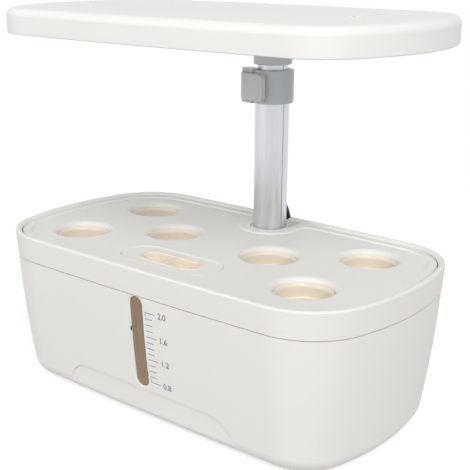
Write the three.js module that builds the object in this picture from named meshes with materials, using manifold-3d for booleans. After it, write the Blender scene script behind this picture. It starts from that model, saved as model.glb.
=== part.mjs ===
// Countertop hydroponic garden: a water tank with a lift-out planting deck and six net cups, a small pump
// in the water, and a flat grow lamp on a telescopic pole that stands at the back of the tank.
// Millimetres, +Z up, origin on the floor under the middle of the tank, front of the tank towards -Y.
import * as THREE from "three";
import { mergeVertices } from "three/addons/utils/BufferGeometryUtils.js";
import Module from "manifold-3d";

const wasm = await Module();
wasm.setup();

// Clearances shared by all pieces.
const restGap = 0.3; // between a piece and what it rests on
const slideGap = 0.3; // between a piece and the hole it goes through
const cutOver = 1; // how far a cutter reaches past what it cuts

// Tank outline: long sides, ends and corners are arcs that run into each other.
const tankLength = 270;
const tankWidth = 148.2;
const tankSideRadius = 3800;
const tankEndRadius = 163.5;
const tankCornerRadius = 41.2;

// Tub.
const footProud = 0.8;
const tubWall = 3;
const baseRound = 11.9;
const baseInset = 8; // how far the wall has drawn in at the top of the base round
const shoulderInset = 1.2; // the same just under the rim frame
const seamHeight = 82.1; // floor to the rim frame's lower edge
const seamGap = 0.4;
const neckWall = 2.4;
const neckHeight = 6.5;
const shoulderRise = 5; // height of the slope inside the tub that leads to its neck

// Shallow grip panel low on the front wall.
const gripHalfLength = 66.5;
const gripHeight = 22.4; // floor to its upper edge
const gripCorner = 18;
const gripDepth = 0.8;

// Water window in the front wall.
const windowHalfWidth = 4.5;
const windowBottom = 24.8;
const windowTop = 81;
const windowRing = 1.2; // width of the sunk ring round it
const windowSunk = 0.5;
const windowThick = 0.9; // of the pane's edge, which lies in a rebate of the wall
const windowSeat = 2.2; // depth of the rebate
const windowLap = 1.6; // width of the rebate's floor
const sealGap = 0.15; // between the gasket and the faces that press on it

// Feet.
const footRadius = 7;
const footSeat = 1.2; // depth of the pocket that holds a foot
const footFromEnd = 43;
const footFromSide = 34.1;
const footAcross = tankLength / 2 - footFromEnd;
const footBack = tankWidth / 2 - footFromSide;

// Rim frame.
const rimHeight = 98.1; // floor to the top of the rim
const rimFootInset = 1;
const rimRound = 1.4;
const rimSoft = 0.4;
const rimWidth = 4;
const ledgeTop = 90.5;
const ledgeThick = 2;
const ledgeInset = 9;
const shelfHalfWidth = 22;
const cordNotchHalfWidth = 2.7;
const cordNotchFloor = 90.8;

// Pole socket under the shelf.
const poleFromRear = 22.2; // pole axis in front of the tank's rear edge
const poleBack = tankWidth / 2 - poleFromRear; // the same, behind the middle of the tank
const poleRadius = 10.65;
const poleWall = 0.9;
const socketNeckRadius = 12;
const socketTop = 94.3;
const socketFlangeRadius = 14;
const socketFlangeHalfLength = 20.6;
const socketFlangeThick = 2;
const socketBodyRadius = 12.5;
const socketBottom = 40;
const socketFloor = 3;
const socketScrewAcross = 16.2;

// Screws.
const screwRadius = 1.1;
const screwHeadRadius = 2.5;
const screwHeadThick = 1.4;

// Pole tubes.
const grooveAngle = THREE.MathUtils.degToRad(11); // the side grooves sit this far forward of the sides
const grooveWidth = 0.9;
const grooveDepth = 0.45;
const innerTubeWall = 1;
const innerTubeBottom = 118;
const plugHead = 2;
const plugShank = 8;
const plugWallGap = 0.3;
const wireHoleRadius = 2.2;

// Clamp round the top of the outer tube.
const clampTurn = THREE.MathUtils.degToRad(-13.4);
const clampRadius = 13.3;
const clampBottom = 177.3;
const clampTop = 198.7;
const clampLip = 1.6;
const clampEarTop = 2.5; // thickness of the upper ear
const clampEarFoot = 1.8; // thickness of the lower ear
const clampSlit = 1.2;
const clampSlitAngle = THREE.MathUtils.degToRad(155);
const leverThick = 3;
const leverLeft = 11; // plate edges from the pole axis, along the plate
const leverRight = 9.3;
const leverCorner = 3;
const leverEndRound = 1.2;
const leverPinAcross = 10.7;
const leverPinForward = 11;
const knuckleRadius = 2.2;
const clampPinRadius = 1;

// Lamp outline and shell.
const lampLength = 271.6;
const lampWidth = 145;
const lampSideRadius = 2020;
const lampEndRadius = 120;
const lampCornerRadius = 29.3;
const lampRearIn = 0; // how far the lamp's rear edge lies in front of the tank's
const lampBack = (tankWidth - lampWidth) / 2 - lampRearIn; // lamp centre behind the middle of the tank
const lampBottom = 220.4;
const lampThick = 15.1;
const lampRound = 4.9;
const lampWall = 2;
const lampInnerRound = 3;
const lampFootSoft = 0.4;

// Lamp inside.
const trayLift = 0.5; // how far the tray lies above the cover's lower edge
const trayThick = 2;
const trayFrameHeight = 4.2;
const trayFrameWall = 2;
const diffuserFromEnd = 25.8;
const diffuserFromFront = 17;
const diffuserFromRear = 44;
const diffuserHalfLength = lampLength / 2 - diffuserFromEnd;
const diffuserHalfWidth = (lampWidth - diffuserFromFront - diffuserFromRear) / 2;
const diffuserForward = (diffuserFromRear - diffuserFromFront) / 2;
const diffuserCorner = 12;
const diffuserThick = 1.5;
const diffuserLap = 3;
const boardThick = 1.4;
const ledRows = 3;
const ledColumns = 8;
const ledSize = 3.2;
const ledThick = 0.9;
const ledEndMargin = 22.5; // outermost lamps from the diffuser's edges
const ledSideMargin = 18;
const ledPitchAcross = (2 * (diffuserHalfLength - ledEndMargin)) / (ledColumns - 1);
const ledPitchForward = (2 * (diffuserHalfWidth - ledSideMargin)) / (ledRows - 1);
const driverLength = 56;
const driverWidth = 16;
const driverFromEnd = 83.8;
const driverFromRear = 26.5;
const driverAcross = lampLength / 2 - driverFromEnd;
const driverBack = lampWidth / 2 - driverFromRear;
const driverLegHeight = 3;
const driverLegRadius = 1.5;
const capacitorRadius = 3.4;
const capacitorLength = 9;
const chipSize = 7;
const chipThick = 1.8;
const lampScrewLength = 8;
const lampBossRadius = 2.4;
const lampScrewFrontFromEnd = 65.8;
const lampScrewFrontFromSide = 8.6;
const lampScrewRearFromEnd = 38.8;
const lampScrewRearFromSide = 25.5;
const lampScrewFront = {
  across: lampLength / 2 - lampScrewFrontFromEnd,
  back: lampScrewFrontFromSide - lampWidth / 2,
};
const lampScrewRear = {
  across: lampLength / 2 - lampScrewRearFromEnd,
  back: lampWidth / 2 - lampScrewRearFromSide,
};

// Lamp collar.
const collarRadius = 12;
const collarBottom = 201.7;
const collarSoft = 0.9;
const collarRoof = 3.3;
const collarScrewAcross = 5.6;

// Button on the lamp.
const buttonFromEnd = 46.4;
const buttonAcross = lampLength / 2 - buttonFromEnd;
const buttonRadius = 4.5;
const buttonProud = 0.25;
const buttonFlange = 1.5;
const buttonFlangeThick = 1;
const buttonStemRadius = 2.5;
const buttonTravel = 0.8;
const buttonStopGap = 0.2;
const lensRadius = 1.1;
const lensThick = 0.8;

// Deck.
const deckTop = 95.74; // floor to the deck's field
const deckThick = 2.2;
const deckEdgeGap = 0.5;
const deckEdgeWall = 2;
const lipHeight = 0.95;
const lipWidth = 5.6;
const lipSlope = 0.5;
const notchHalfWidth = 12.4;
const notchLip = 4.8;
const notchWall = 1.8;
const notchFlare = 5; // how much further out each side of the notch lies at the tank's rear edge
const notchFlareLength = 12; // how far in front of that edge it starts to spread

// Planting holes and their net cups.
const holeRadius = 19.4;
const holeRound = 2.7;
const holeBoreDepth = 12.6;
const holeWall = 1.8;
const holeLedge = 2.7;
const holeLedgeThick = 1.5;
const holePlaceShares = [
  // across, of the tank's length, and back, of its width
  [-0.32148, -0.2166],
  [-0.31778, 0.23482],
  [-0.14037, 0.01215],
  [0.14037, 0.01215],
  [0.32148, -0.2166],
  [0.31778, 0.23482],
];
const holePlaces = holePlaceShares.map(([across, back]) => ({
  across: across * tankLength,
  back: back * tankWidth,
}));
const cupTopBelow = 2.9; // cup rim under the deck's field
const cupWall = 1.2;
const cupStepThick = 1.1;
const cupNetRadius = 13.2;
const cupFootRadius = 10.4;
const cupHeight = 43;
const cupSlots = 2; // cutters, each makes a slot on both sides
const cupSlotWidth = 2.6;
const cupSlotTopShare = 0.62; // of the net's height
const cupSlotFootShare = 0.12;

// Filler port, its lid and the grip bowl in the lid.
const fillerForwardShare = 0.28745; // of the tank's width
const fillerForward = fillerForwardShare * tankWidth;
const fillerHalfLength = 35;
const fillerRadius = 14.2;
const fillerThick = 2.2;
const fillerSeat = 3.4; // width of the ledge that carries the lid
const fillerFrameWall = 2;
const fillerFrameDepth = 3;
const fillerSkirtDepth = 4;
const fillerSkirtWall = 1.4;
const fillerBead = 0.9;
const fillerBeadHeight = 0.5;
const dimpleRadius = 0.6;
const dimpleDepth = 0.8;
const dimpleIn = 3; // dimple centre from the lid's edge
const bowlHalfLength = 21.3;
const bowlRadius = 7.2;
const bowlRim = 1.2;
const bowlRimThick = 1;
const bowlWall = 1.1;
const bowlDepth = 6.5;
const bowlDrawIn = 1.6;
const webHalfWide = 4.4; // the grip web is wide at its ends and narrow at its middle
const webHalfNarrow = 1.3;
const webBelow = 0.5;
const webBowShare = 0.9; // how far the waist is pulled past its narrow half width

// Pump.
const pumpAcross = 34;
const pumpBack = 8;
const pumpLength = 26; // along the shaft
const pumpWidth = 34;
const pumpHeight = 22;
const pumpCorner = 3;
const cupFootHeight = 3.6;
const suctionRadius = 4.6;
const suctionNeck = 2.2;
const suctionAcross = 11;
const suctionBack = 8;
const chamberRadius = 8.6;
const chamberDepth = 6;
const magnetRadius = 4.6;
const magnetLength = 10;
const rotorDisc = 1.4;
const rotorRadius = 7.8;
const vaneCount = 6;
const vaneHeight = 3;
const vaneThick = 1.1;
const hubRadius = 2.4;
const rotorGap = 0.4;
const shaftRadius = 1;
const shaftSeat = 3;
const coverThick = 2.4;
const coverSlots = 3;
const coverSlotWidth = 2;
const coverSlotPitch = 4.2;
const coverSlotLength = 8;
const outletRadius = 4;
const outletBore = 2.7;
const outletHeight = 12;
const outletFlange = 1.6;
const outletSide = 9; // outlet axis from the shaft axis
const pumpCordRadius = 1.3;
const pumpCordSteps = 16;

// Power lead.
const cordDiameter = 3.8;
const cordSides = 8;
const cordExitHeight = 107.8;
const bootRadius = 3.1;
const bootLength = 1.6;
const bootFlange = 1.2;
const bootFlangeRadius = 3.2;
const bootHoleRadius = 2.5;
const leadSteps = 32;
const tailSteps = 8;
const coilSides = 6;
const coilSteps = 24; // per turn
const coilTurns = 6.25;
const coilMidRadius = 24;
const coilPitch = 4.35;
const coilLayer = 4.3;
const coilBack = 114;
const coilSpread = (coilPitch * coilTurns) / 4; // from the middle of the turns to the outermost
const coilAcross = -coilMidRadius - coilSpread;
const adapterLength = 42;
const adapterWidth = 30;
const adapterHeight = 25;
const adapterCorner = 5;
const adapterSoft = 1.2;
const adapterBootLength = 14;
const adapterBootRadius = 3.4;
const prongLength = 17;
const prongWidth = 6.3;
const prongThick = 1.5;
const prongPitch = 12.7;
const prongSeat = 4;

// Route of the lead from the pole over the rear rim, down the back of the tank and over the floor to the
// coil. Its first and last point come from what it meets.
const leadPoints = [
  [0, 67.9, 106.1],
  [0, 70.3, 101.8],
  [0, 72.2, 97.3],
  [0, 74.2, 94.4],
  [0, 76.3, 91.4],
  [0, 77.2, 87],
  [0, 77.3, 79],
  [0, 77.2, 66],
  [0, 77.1, 52],
  [0, 77.1, 38],
  [0, 77.6, 26],
  [0, 79.8, 15.5],
  [0, 84.6, 7.4],
  [0, 91.8, 2.9],
  [0, 99.6, 1.9],
];
const tailLength = 30; // along X
const tailRise = 6.3;

// Finishes: colour, roughness and metalness of each kind of material.
const finishes = {
  shell: { color: 0xeeece6, roughness: 0.42, metalness: 0 },
  deck: { color: 0xdfdeda, roughness: 0.55, metalness: 0 },
  cream: { color: 0xeadfcb, roughness: 0.5, metalness: 0 },
  tinted: { color: 0x8c7044, roughness: 0.15, metalness: 0 },
  rubber: { color: 0x3a3a3c, roughness: 0.85, metalness: 0 },
  aluminium: { color: 0xc9cbce, roughness: 0.32, metalness: 1 },
  steel: { color: 0x9fa2a6, roughness: 0.3, metalness: 1 },
  grey: { color: 0xa9acb1, roughness: 0.45, metalness: 0 },
  board: { color: 0xf2f2ee, roughness: 0.4, metalness: 0 },
  circuit: { color: 0x1f6b3b, roughness: 0.5, metalness: 0 },
  diffuser: { color: 0xf6f7f5, roughness: 0.35, metalness: 0 },
  dark: { color: 0x2a2b2e, roughness: 0.5, metalness: 0 },
  pump: { color: 0x2f3135, roughness: 0.55, metalness: 0 },
  rotor: { color: 0xd8dade, roughness: 0.5, metalness: 0 },
  ceramic: { color: 0xf3f1ec, roughness: 0.3, metalness: 0 },
  brass: { color: 0xc9a85a, roughness: 0.3, metalness: 1 },
};

// Vertices closer than this are one vertex.
const weld = 1e-3;

// Round pieces have this many sides: large ones, holes in the deck with their cups, and small ones.
const roundSteps = 24;
const holeSteps = 16;
const smallSteps = 12;

// A closed solid from a geometry, with its faces turned outwards.
function solidOf(geometry) {
  const loose = geometry.index ? geometry.toNonIndexed() : geometry;
  const bare = new THREE.BufferGeometry().setAttribute("position", loose.getAttribute("position"));
  const merged = mergeVertices(bare, weld);
  const corners = merged.index.array;
  const triangles = [];
  for (let i = 0; i < corners.length; i += 3) {
    const [a, b, c] = corners.slice(i, i + 3);
    if (a !== b && b !== c && c !== a) triangles.push([a, b, c]);
  }
  const build = (list) =>
    new wasm.Manifold(
      new wasm.Mesh({
        numProp: 3,
        vertProperties: merged.attributes.position.array,
        triVerts: new Uint32Array(list.flat()),
      }),
    );
  const solid = build(triangles);
  return solid.volume() > 0 ? solid : build(triangles.map(([a, b, c]) => [a, c, b]));
}

const asSolid = (piece) => (piece.isBufferGeometry ? solidOf(piece) : piece);
const join = (...pieces) => pieces.map(asSolid).reduce((all, one) => all.add(one));
const cut = (piece, ...cutters) => cutters.map(asSolid).reduce((left, one) => left.subtract(one), asSolid(piece));
const common = (a, b) => asSolid(a).intersect(asSolid(b));

// A geometry with flat normals from a solid.
function geometryOf(piece) {
  const { vertProperties, triVerts } = asSolid(piece).getMesh();
  const geometry = new THREE.BufferGeometry()
    .setAttribute("position", new THREE.BufferAttribute(vertProperties, 3))
    .setIndex(new THREE.BufferAttribute(triVerts, 1))
    .toNonIndexed();
  geometry.computeVertexNormals();
  return geometry;
}

// Adds a named mesh to a group.
function add(group, name, piece, finish) {
  const mesh = new THREE.Mesh(geometryOf(piece), new THREE.MeshStandardMaterial(finishes[finish]));
  mesh.name = name;
  group.add(mesh);
  return mesh;
}

// A round piece about Z from a profile of [radius, height] points.
function turned(profile, steps = roundSteps) {
  const points = profile.map(([radius, height]) => new THREE.Vector2(radius, height));
  return new THREE.LatheGeometry(points, steps).rotateX(Math.PI / 2);
}

// A plain cylinder about Z between two heights.
function rod(radius, bottom, top, steps = roundSteps) {
  return new THREE.CylinderGeometry(radius, radius, top - bottom, steps)
    .rotateX(Math.PI / 2)
    .translate(0, 0, (bottom + top) / 2);
}

// A plain tube about Z between two heights.
function pipe(radius, bore, bottom, top, steps = roundSteps) {
  return turned([[bore, bottom], [radius, bottom], [radius, top], [bore, top], [bore, bottom]], steps);
}

// A shape raised between two heights.
function prism(shape, bottom, top, steps = smallSteps / 2) {
  const settings = { depth: top - bottom, bevelEnabled: false, curveSegments: steps };
  return new THREE.ExtrudeGeometry(shape, settings).translate(0, 0, bottom);
}

// A box between two corners.
function block([x0, y0, z0], [x1, y1, z1]) {
  return new THREE.BoxGeometry(x1 - x0, y1 - y0, z1 - z0)
    .translate((x0 + x1) / 2, (y0 + y1) / 2, (z0 + z1) / 2);
}

// A slot shape with round ends along X.
function stadium(halfLength, radius) {
  const reach = halfLength - radius;
  const shape = new THREE.Shape();
  shape.moveTo(-reach, -radius);
  shape.lineTo(reach, -radius);
  shape.absarc(reach, 0, radius, -Math.PI / 2, Math.PI / 2);
  shape.lineTo(-reach, radius);
  shape.absarc(-reach, 0, radius, Math.PI / 2, (3 * Math.PI) / 2);
  return shape;
}

// A rectangle with round corners about the middle.
function roundedRectangle(halfLength, halfWidth, corner) {
  const x = halfLength - corner;
  const y = halfWidth - corner;
  const shape = new THREE.Shape();
  shape.moveTo(-x, -halfWidth);
  shape.lineTo(x, -halfWidth);
  shape.absarc(x, -y, corner, -Math.PI / 2, 0);
  shape.lineTo(halfLength, y);
  shape.absarc(x, y, corner, 0, Math.PI / 2);
  shape.lineTo(-x, halfWidth);
  shape.absarc(-x, y, corner, Math.PI / 2, Math.PI);
  shape.lineTo(-halfLength, -y);
  shape.absarc(-x, -y, corner, Math.PI, (3 * Math.PI) / 2);
  return shape;
}

// An oval outline of arcs. Its points can be drawn in by an inset, as parallel walls are.
class Oval {
  constructor(length, width, sideRadius, endRadius, cornerRadius) {
    const side = new THREE.Vector2(0, width / 2 - sideRadius);
    const end = new THREE.Vector2(length / 2 - endRadius, 0);
    const apart = side.distanceTo(end);
    const fromSide = sideRadius - cornerRadius;
    const fromEnd = endRadius - cornerRadius;
    const along = (fromSide ** 2 - fromEnd ** 2 + apart ** 2) / (2 * apart);
    const aside = Math.sqrt(fromSide ** 2 - along ** 2);
    const towards = end.clone().sub(side).normalize();
    const square = new THREE.Vector2(towards.y, -towards.x);
    const corner = side.clone().addScaledVector(towards, along).addScaledVector(square, aside);
    const endAngle = corner.clone().sub(end).angle();
    const sideAngle = corner.clone().sub(side).angle();
    this.halfWidth = width / 2;
    this.arcs = [
      { centre: end, radius: endRadius, from: 0, to: endAngle, steps: 2 },
      { centre: corner, radius: cornerRadius, from: endAngle, to: sideAngle, steps: 5 },
      { centre: side, radius: sideRadius, from: sideAngle, to: Math.PI / 2, steps: 1 },
    ];
  }

  outline(inset) {
    const quarter = [];
    for (const { centre, radius, from, to, steps } of this.arcs)
      for (let step = 0; step < steps; step++) {
        const angle = THREE.MathUtils.lerp(from, to, step / steps);
        const arm = new THREE.Vector2(Math.cos(angle), Math.sin(angle)).multiplyScalar(radius - inset);
        quarter.push(arm.add(centre));
      }
    const back = new THREE.Vector2(0, this.halfWidth - inset);
    const mirrored = quarter.slice(1).reverse().map(({ x, y }) => new THREE.Vector2(-x, y));
    const half = [...quarter, back, ...mirrored];
    return [...half, ...half.map(({ x, y }) => new THREE.Vector2(-x, -y))];
  }
}

// A solid from a profile of [inset, height] points that goes round an oval. An open profile is capped flat
// at its first and last point, and a ring's profile joins its last point to its first.
function round(oval, profile, isRing = false) {
  const levels = profile.map(([inset, height]) => ({ points: oval.outline(inset), height }));
  const count = levels[0].points.length;
  const positions = levels.flatMap(({ points, height }) => points.flatMap(({ x, y }) => [x, y, height]));
  const index = [];
  const bands = isRing ? levels.length : levels.length - 1;
  for (let band = 0; band < bands; band++)
    for (let i = 0; i < count; i++) {
      const low = band * count;
      const high = ((band + 1) % levels.length) * count;
      const next = (i + 1) % count;
      index.push(low + i, low + next, high + next, low + i, high + next, high + i);
    }
  if (!isRing) {
    const last = bands * count;
    for (const [a, b, c] of THREE.ShapeUtils.triangulateShape(levels[0].points, [])) index.push(a, c, b);
    for (const [a, b, c] of THREE.ShapeUtils.triangulateShape(levels[bands].points, []))
      index.push(last + a, last + b, last + c);
  }
  const geometry = new THREE.BufferGeometry();
  geometry.setAttribute("position", new THREE.Float32BufferAttribute(positions, 3));
  geometry.setIndex(index);
  return geometry;
}

// Points of a quarter round from a start angle to an end angle, as [inset, height] or [radius, height].
function arc(centreIn, centreHeight, radius, from, to, steps) {
  return Array.from({ length: steps + 1 }, (_, step) => {
    const angle = THREE.MathUtils.lerp(from, to, step / steps);
    return [centreIn - radius * Math.cos(angle), centreHeight + radius * Math.sin(angle)];
  });
}

const tankOval = new Oval(tankLength, tankWidth, tankSideRadius, tankEndRadius, tankCornerRadius);
const lampOval = new Oval(lampLength, lampWidth, lampSideRadius, lampEndRadius, lampCornerRadius);
const tankHalfWidth = tankWidth / 2;
const baseTop = footProud + baseRound;
const tubFloor = footProud + tubWall;
const shoulderHeight = seamHeight - seamGap;
const quarterTurn = Math.PI / 2;

// How far the tub's outer wall has drawn in at a height.
const wallInset = (height) =>
  THREE.MathUtils.mapLinear(height, baseTop, shoulderHeight, baseInset, shoulderInset);

// The tub's outer face as a profile, drawn in by a depth.
function tubProfile(depth = 0) {
  const base = arc(baseInset + baseRound + depth, baseTop, baseRound, -quarterTurn, 0, 4);
  return [...base, [shoulderInset + depth, shoulderHeight]];
}

// Everything inside the tub's outer face at a depth. It reaches past the underside, as a cutter does.
const insideFace = (depth) =>
  round(tankOval, [[baseInset + baseRound + depth, -cutOver], ...tubProfile(depth)]);

// What a shape pushed through the front wall leaves in front of a depth, or between two depths.
const inFront = (shape, to) => cut(shape, insideFace(to));
const between = (shape, from, to) => cut(common(shape, insideFace(from)), insideFace(to));

// An upright shape in the front wall, given in X and height, pushed through the wall.
function throughFront(shape) {
  return prism(shape, 0, tankHalfWidth).rotateX(quarterTurn);
}

// The upright slot of the water window, wider all round by a margin.
function windowSlot(margin) {
  const halfHeight = (windowTop - windowBottom) / 2;
  const slot = prism(stadium(halfHeight + margin, windowHalfWidth + margin), 0, tankHalfWidth, smallSteps / 2);
  return slot.rotateZ(quarterTurn).rotateX(quarterTurn).translate(0, 0, (windowTop + windowBottom) / 2);
}

const footPlaces = [-1, 1].flatMap((x) => [-1, 1].map((y) => [x * footAcross, y * footBack]));

// Low panel on the front wall: a long arch that stands on the tub's base.
function gripPanel() {
  const arch = new THREE.Shape();
  const flat = gripHalfLength - gripCorner;
  const spring = gripHeight - gripCorner;
  arch.moveTo(-gripHalfLength, 0);
  arch.lineTo(gripHalfLength, 0);
  arch.lineTo(gripHalfLength, spring);
  arch.absarc(flat, spring, gripCorner, 0, quarterTurn);
  arch.absarc(-flat, spring, gripCorner, quarterTurn, Math.PI);
  return throughFront(arch);
}

function tub() {
  const neckOut = rimWidth + slideGap;
  const neckIn = neckOut + neckWall;
  const neckTop = shoulderHeight + neckHeight;
  const slopeTop = shoulderHeight - shoulderRise / 2;
  const slopeFoot = slopeTop - shoulderRise;
  const inside = arc(baseInset + baseRound, baseTop, baseRound - tubWall, 0, -quarterTurn, 2);
  const body = round(tankOval, [
    ...tubProfile(),
    [neckOut, shoulderHeight],
    [neckOut, neckTop],
    [neckIn, neckTop],
    [neckIn, slopeTop],
    [wallInset(slopeFoot) + tubWall, slopeFoot],
    ...inside,
  ]);
  const footPocket = footRadius + slideGap;
  const pockets = footPlaces.map(([x, y]) =>
    rod(footPocket, footProud - cutOver, footProud + footSeat, smallSteps).translate(x, y, 0),
  );
  return cut(
    body,
    inFront(gripPanel(), gripDepth),
    inFront(windowSlot(windowRing), windowSunk),
    inFront(windowSlot(slideGap), windowSeat),
    windowSlot(-windowLap),
    ...pockets,
  );
}

// The window's edge lies in a rebate on a thin gasket, and its middle fills the slot behind.
function waterWindow() {
  const edge = between(windowSlot(0), windowSunk, windowSunk + windowThick);
  const middle = between(windowSlot(-windowLap - slideGap), windowSunk, tubWall);
  return join(edge, middle);
}

function windowGasket() {
  const ring = between(windowSlot(0), windowSunk + windowThick + sealGap, windowSeat - sealGap);
  return cut(ring, windowSlot(-windowLap));
}

// A tongue with a round front that reaches back from the pole's axis to the rear wall, where it may spread.
function tongue(halfWidth, bottom, top, flare = 0, steps = smallSteps / 2) {
  const spreadFrom = tankHalfWidth - notchFlareLength;
  const shape = new THREE.Shape();
  shape.moveTo(halfWidth, spreadFrom);
  shape.lineTo(halfWidth + flare, tankHalfWidth);
  shape.lineTo(-halfWidth - flare, tankHalfWidth);
  shape.lineTo(-halfWidth, spreadFrom);
  shape.absarc(0, poleBack, halfWidth, Math.PI, 2 * Math.PI);
  return prism(shape, bottom, top, steps);
}

const ledgeFoot = ledgeTop - ledgeThick;
const socketScrewPlaces = [-socketScrewAcross, socketScrewAcross];

function rimFrame() {
  const band = round(
    tankOval,
    [
      [rimFootInset, seamHeight],
      ...arc(rimRound, rimHeight - rimRound, rimRound, 0, quarterTurn, 2),
      [rimWidth - rimSoft, rimHeight],
      [rimWidth, rimHeight - rimSoft],
      [rimWidth, ledgeTop],
      [ledgeInset, ledgeTop],
      [ledgeInset, ledgeFoot],
      [rimWidth, ledgeFoot],
      [rimWidth, seamHeight],
    ],
    true,
  );
  const inside = round(tankOval, [[rimWidth / 2, ledgeFoot], [rimWidth / 2, ledgeTop]]);
  const shelf = common(tongue(shelfHalfWidth, ledgeFoot, ledgeTop), inside);
  const neckHole = rod(socketNeckRadius + slideGap, ledgeFoot - cutOver, ledgeTop + cutOver);
  const screwHoles = socketScrewPlaces.map((x) =>
    rod(screwRadius + slideGap, ledgeFoot - cutOver, ledgeTop + cutOver, smallSteps).translate(x, poleBack, 0),
  );
  const notchAxis = cordNotchFloor + cordNotchHalfWidth;
  const notch = join(
    rod(cordNotchHalfWidth, -rimWidth - cutOver, cutOver, smallSteps)
      .rotateX(quarterTurn)
      .translate(0, tankHalfWidth - rimWidth - cutOver, notchAxis),
    block(
      [-cordNotchHalfWidth, tankHalfWidth - rimWidth - cutOver, notchAxis],
      [cordNotchHalfWidth, tankHalfWidth + cutOver, rimHeight + cutOver],
    ),
  );
  return cut(join(band, shelf), neckHole.translate(0, poleBack, 0), ...screwHoles, notch);
}

function poleSocket() {
  const flangeTop = ledgeFoot - restGap;
  const flangeFoot = flangeTop - socketFlangeThick;
  const bore = poleRadius + slideGap;
  const body = turned([
    [wireHoleRadius, socketBottom],
    [socketBodyRadius, socketBottom],
    [socketBodyRadius, flangeTop],
    [socketNeckRadius, flangeTop],
    [socketNeckRadius, socketTop],
    [bore, socketTop],
    [bore, socketBottom + socketFloor],
    [wireHoleRadius, socketBottom + socketFloor],
    [wireHoleRadius, socketBottom],
  ]);
  const screwHoles = socketScrewPlaces.map((x) =>
    rod(screwRadius + slideGap, flangeFoot - cutOver, flangeTop + cutOver, smallSteps).translate(x, 0, 0),
  );
  const flange = cut(
    prism(stadium(socketFlangeHalfLength, socketFlangeRadius), flangeFoot, flangeTop),
    rod(bore, flangeFoot - cutOver, flangeTop + cutOver),
  );
  return cut(join(body, flange), ...screwHoles);
}

// A screw that points up, with its head's upper face at height zero.
function screw(length) {
  return turned(
    [[0, -screwHeadThick], [screwHeadRadius, -screwHeadThick], [screwHeadRadius, 0],
      [screwRadius, 0], [screwRadius, length], [0, length]],
    smallSteps / 2,
  );
}

// A drawn tube with a shallow groove down each side, a little forward of the sides.
function groovedTube(radius, wall, bottom, top) {
  const grooves = [-grooveAngle, Math.PI + grooveAngle].map((angle) =>
    block(
      [radius - grooveDepth, -grooveWidth / 2, bottom - cutOver],
      [radius + cutOver, grooveWidth / 2, top + cutOver],
    ).rotateZ(angle),
  );
  return cut(pipe(radius, radius - wall, bottom, top), ...grooves);
}

const innerTubeRadius = poleRadius - poleWall - slideGap;
const poleTubeBottom = socketBottom + socketFloor + restGap;
const poleTubeTop = clampTop - clampLip - restGap;
const collarTop = lampBottom + trayLift - restGap;
const innerTubeTop = collarTop - collarRoof - restGap;

function poleTube() {
  const tube = groovedTube(poleRadius, poleWall, poleTubeBottom, poleTubeTop);
  const bootHole = rod(bootHoleRadius, 0, poleRadius + cutOver, smallSteps)
    .rotateX(-quarterTurn)
    .translate(0, 0, cordExitHeight);
  return cut(tube, bootHole);
}

function innerTubePlug() {
  const bore = innerTubeRadius - innerTubeWall;
  const headTop = innerTubeBottom - restGap;
  return turned([
    [wireHoleRadius, headTop - plugHead],
    [innerTubeRadius, headTop - plugHead],
    [innerTubeRadius, headTop],
    [bore - plugWallGap, headTop],
    [bore - plugWallGap, headTop + plugShank],
    [wireHoleRadius, headTop + plugShank],
    [wireHoleRadius, headTop - plugHead],
  ], smallSteps);
}

const leverBack = -clampRadius - slideGap; // inner face of the lever's plate
const leverFoot = clampBottom + clampEarFoot + slideGap;
const leverTop = clampTop - clampEarTop - slideGap;

// The clamp: a split collar with two ears that hold the lever's pin.
function clampCollar() {
  const bore = poleRadius + slideGap;
  const collar = turned([
    [bore, clampBottom],
    [clampRadius, clampBottom],
    [clampRadius, clampTop],
    [innerTubeRadius + slideGap, clampTop],
    [innerTubeRadius + slideGap, clampTop - clampLip],
    [bore, clampTop - clampLip],
    [bore, clampBottom],
  ]);
  const earRadius = clampRadius - leverPinForward;
  const ear = (bottom, top) =>
    join(
      rod(earRadius, bottom, top, smallSteps).translate(-leverPinAcross, -leverPinForward, 0),
      block([-leverPinAcross, -clampRadius, bottom], [-knuckleRadius, -leverPinForward + earRadius, top]),
    );
  const ears = join(ear(clampBottom, clampBottom + clampEarFoot), ear(clampTop - clampEarTop, clampTop));
  const boreCut = rod(bore, clampBottom - cutOver, clampTop - clampLip);
  const lipCut = rod(innerTubeRadius + slideGap, clampBottom, clampTop + cutOver);
  const pinHole = rod(clampPinRadius + slideGap, clampBottom + restGap, clampTop - restGap, smallSteps);
  const pocket = rod(knuckleRadius + slideGap, leverFoot - slideGap, leverTop + slideGap, smallSteps);
  const slit = block(
    [0, -clampSlit / 2, clampBottom - cutOver],
    [clampRadius + cutOver, clampSlit / 2, clampTop - clampLip - cutOver],
  ).rotateZ(clampSlitAngle);
  return cut(
    join(collar, ears),
    boreCut,
    lipCut,
    pinHole.translate(-leverPinAcross, -leverPinForward, 0),
    pocket.translate(-leverPinAcross, -leverPinForward, 0),
    slit,
  );
}

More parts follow.
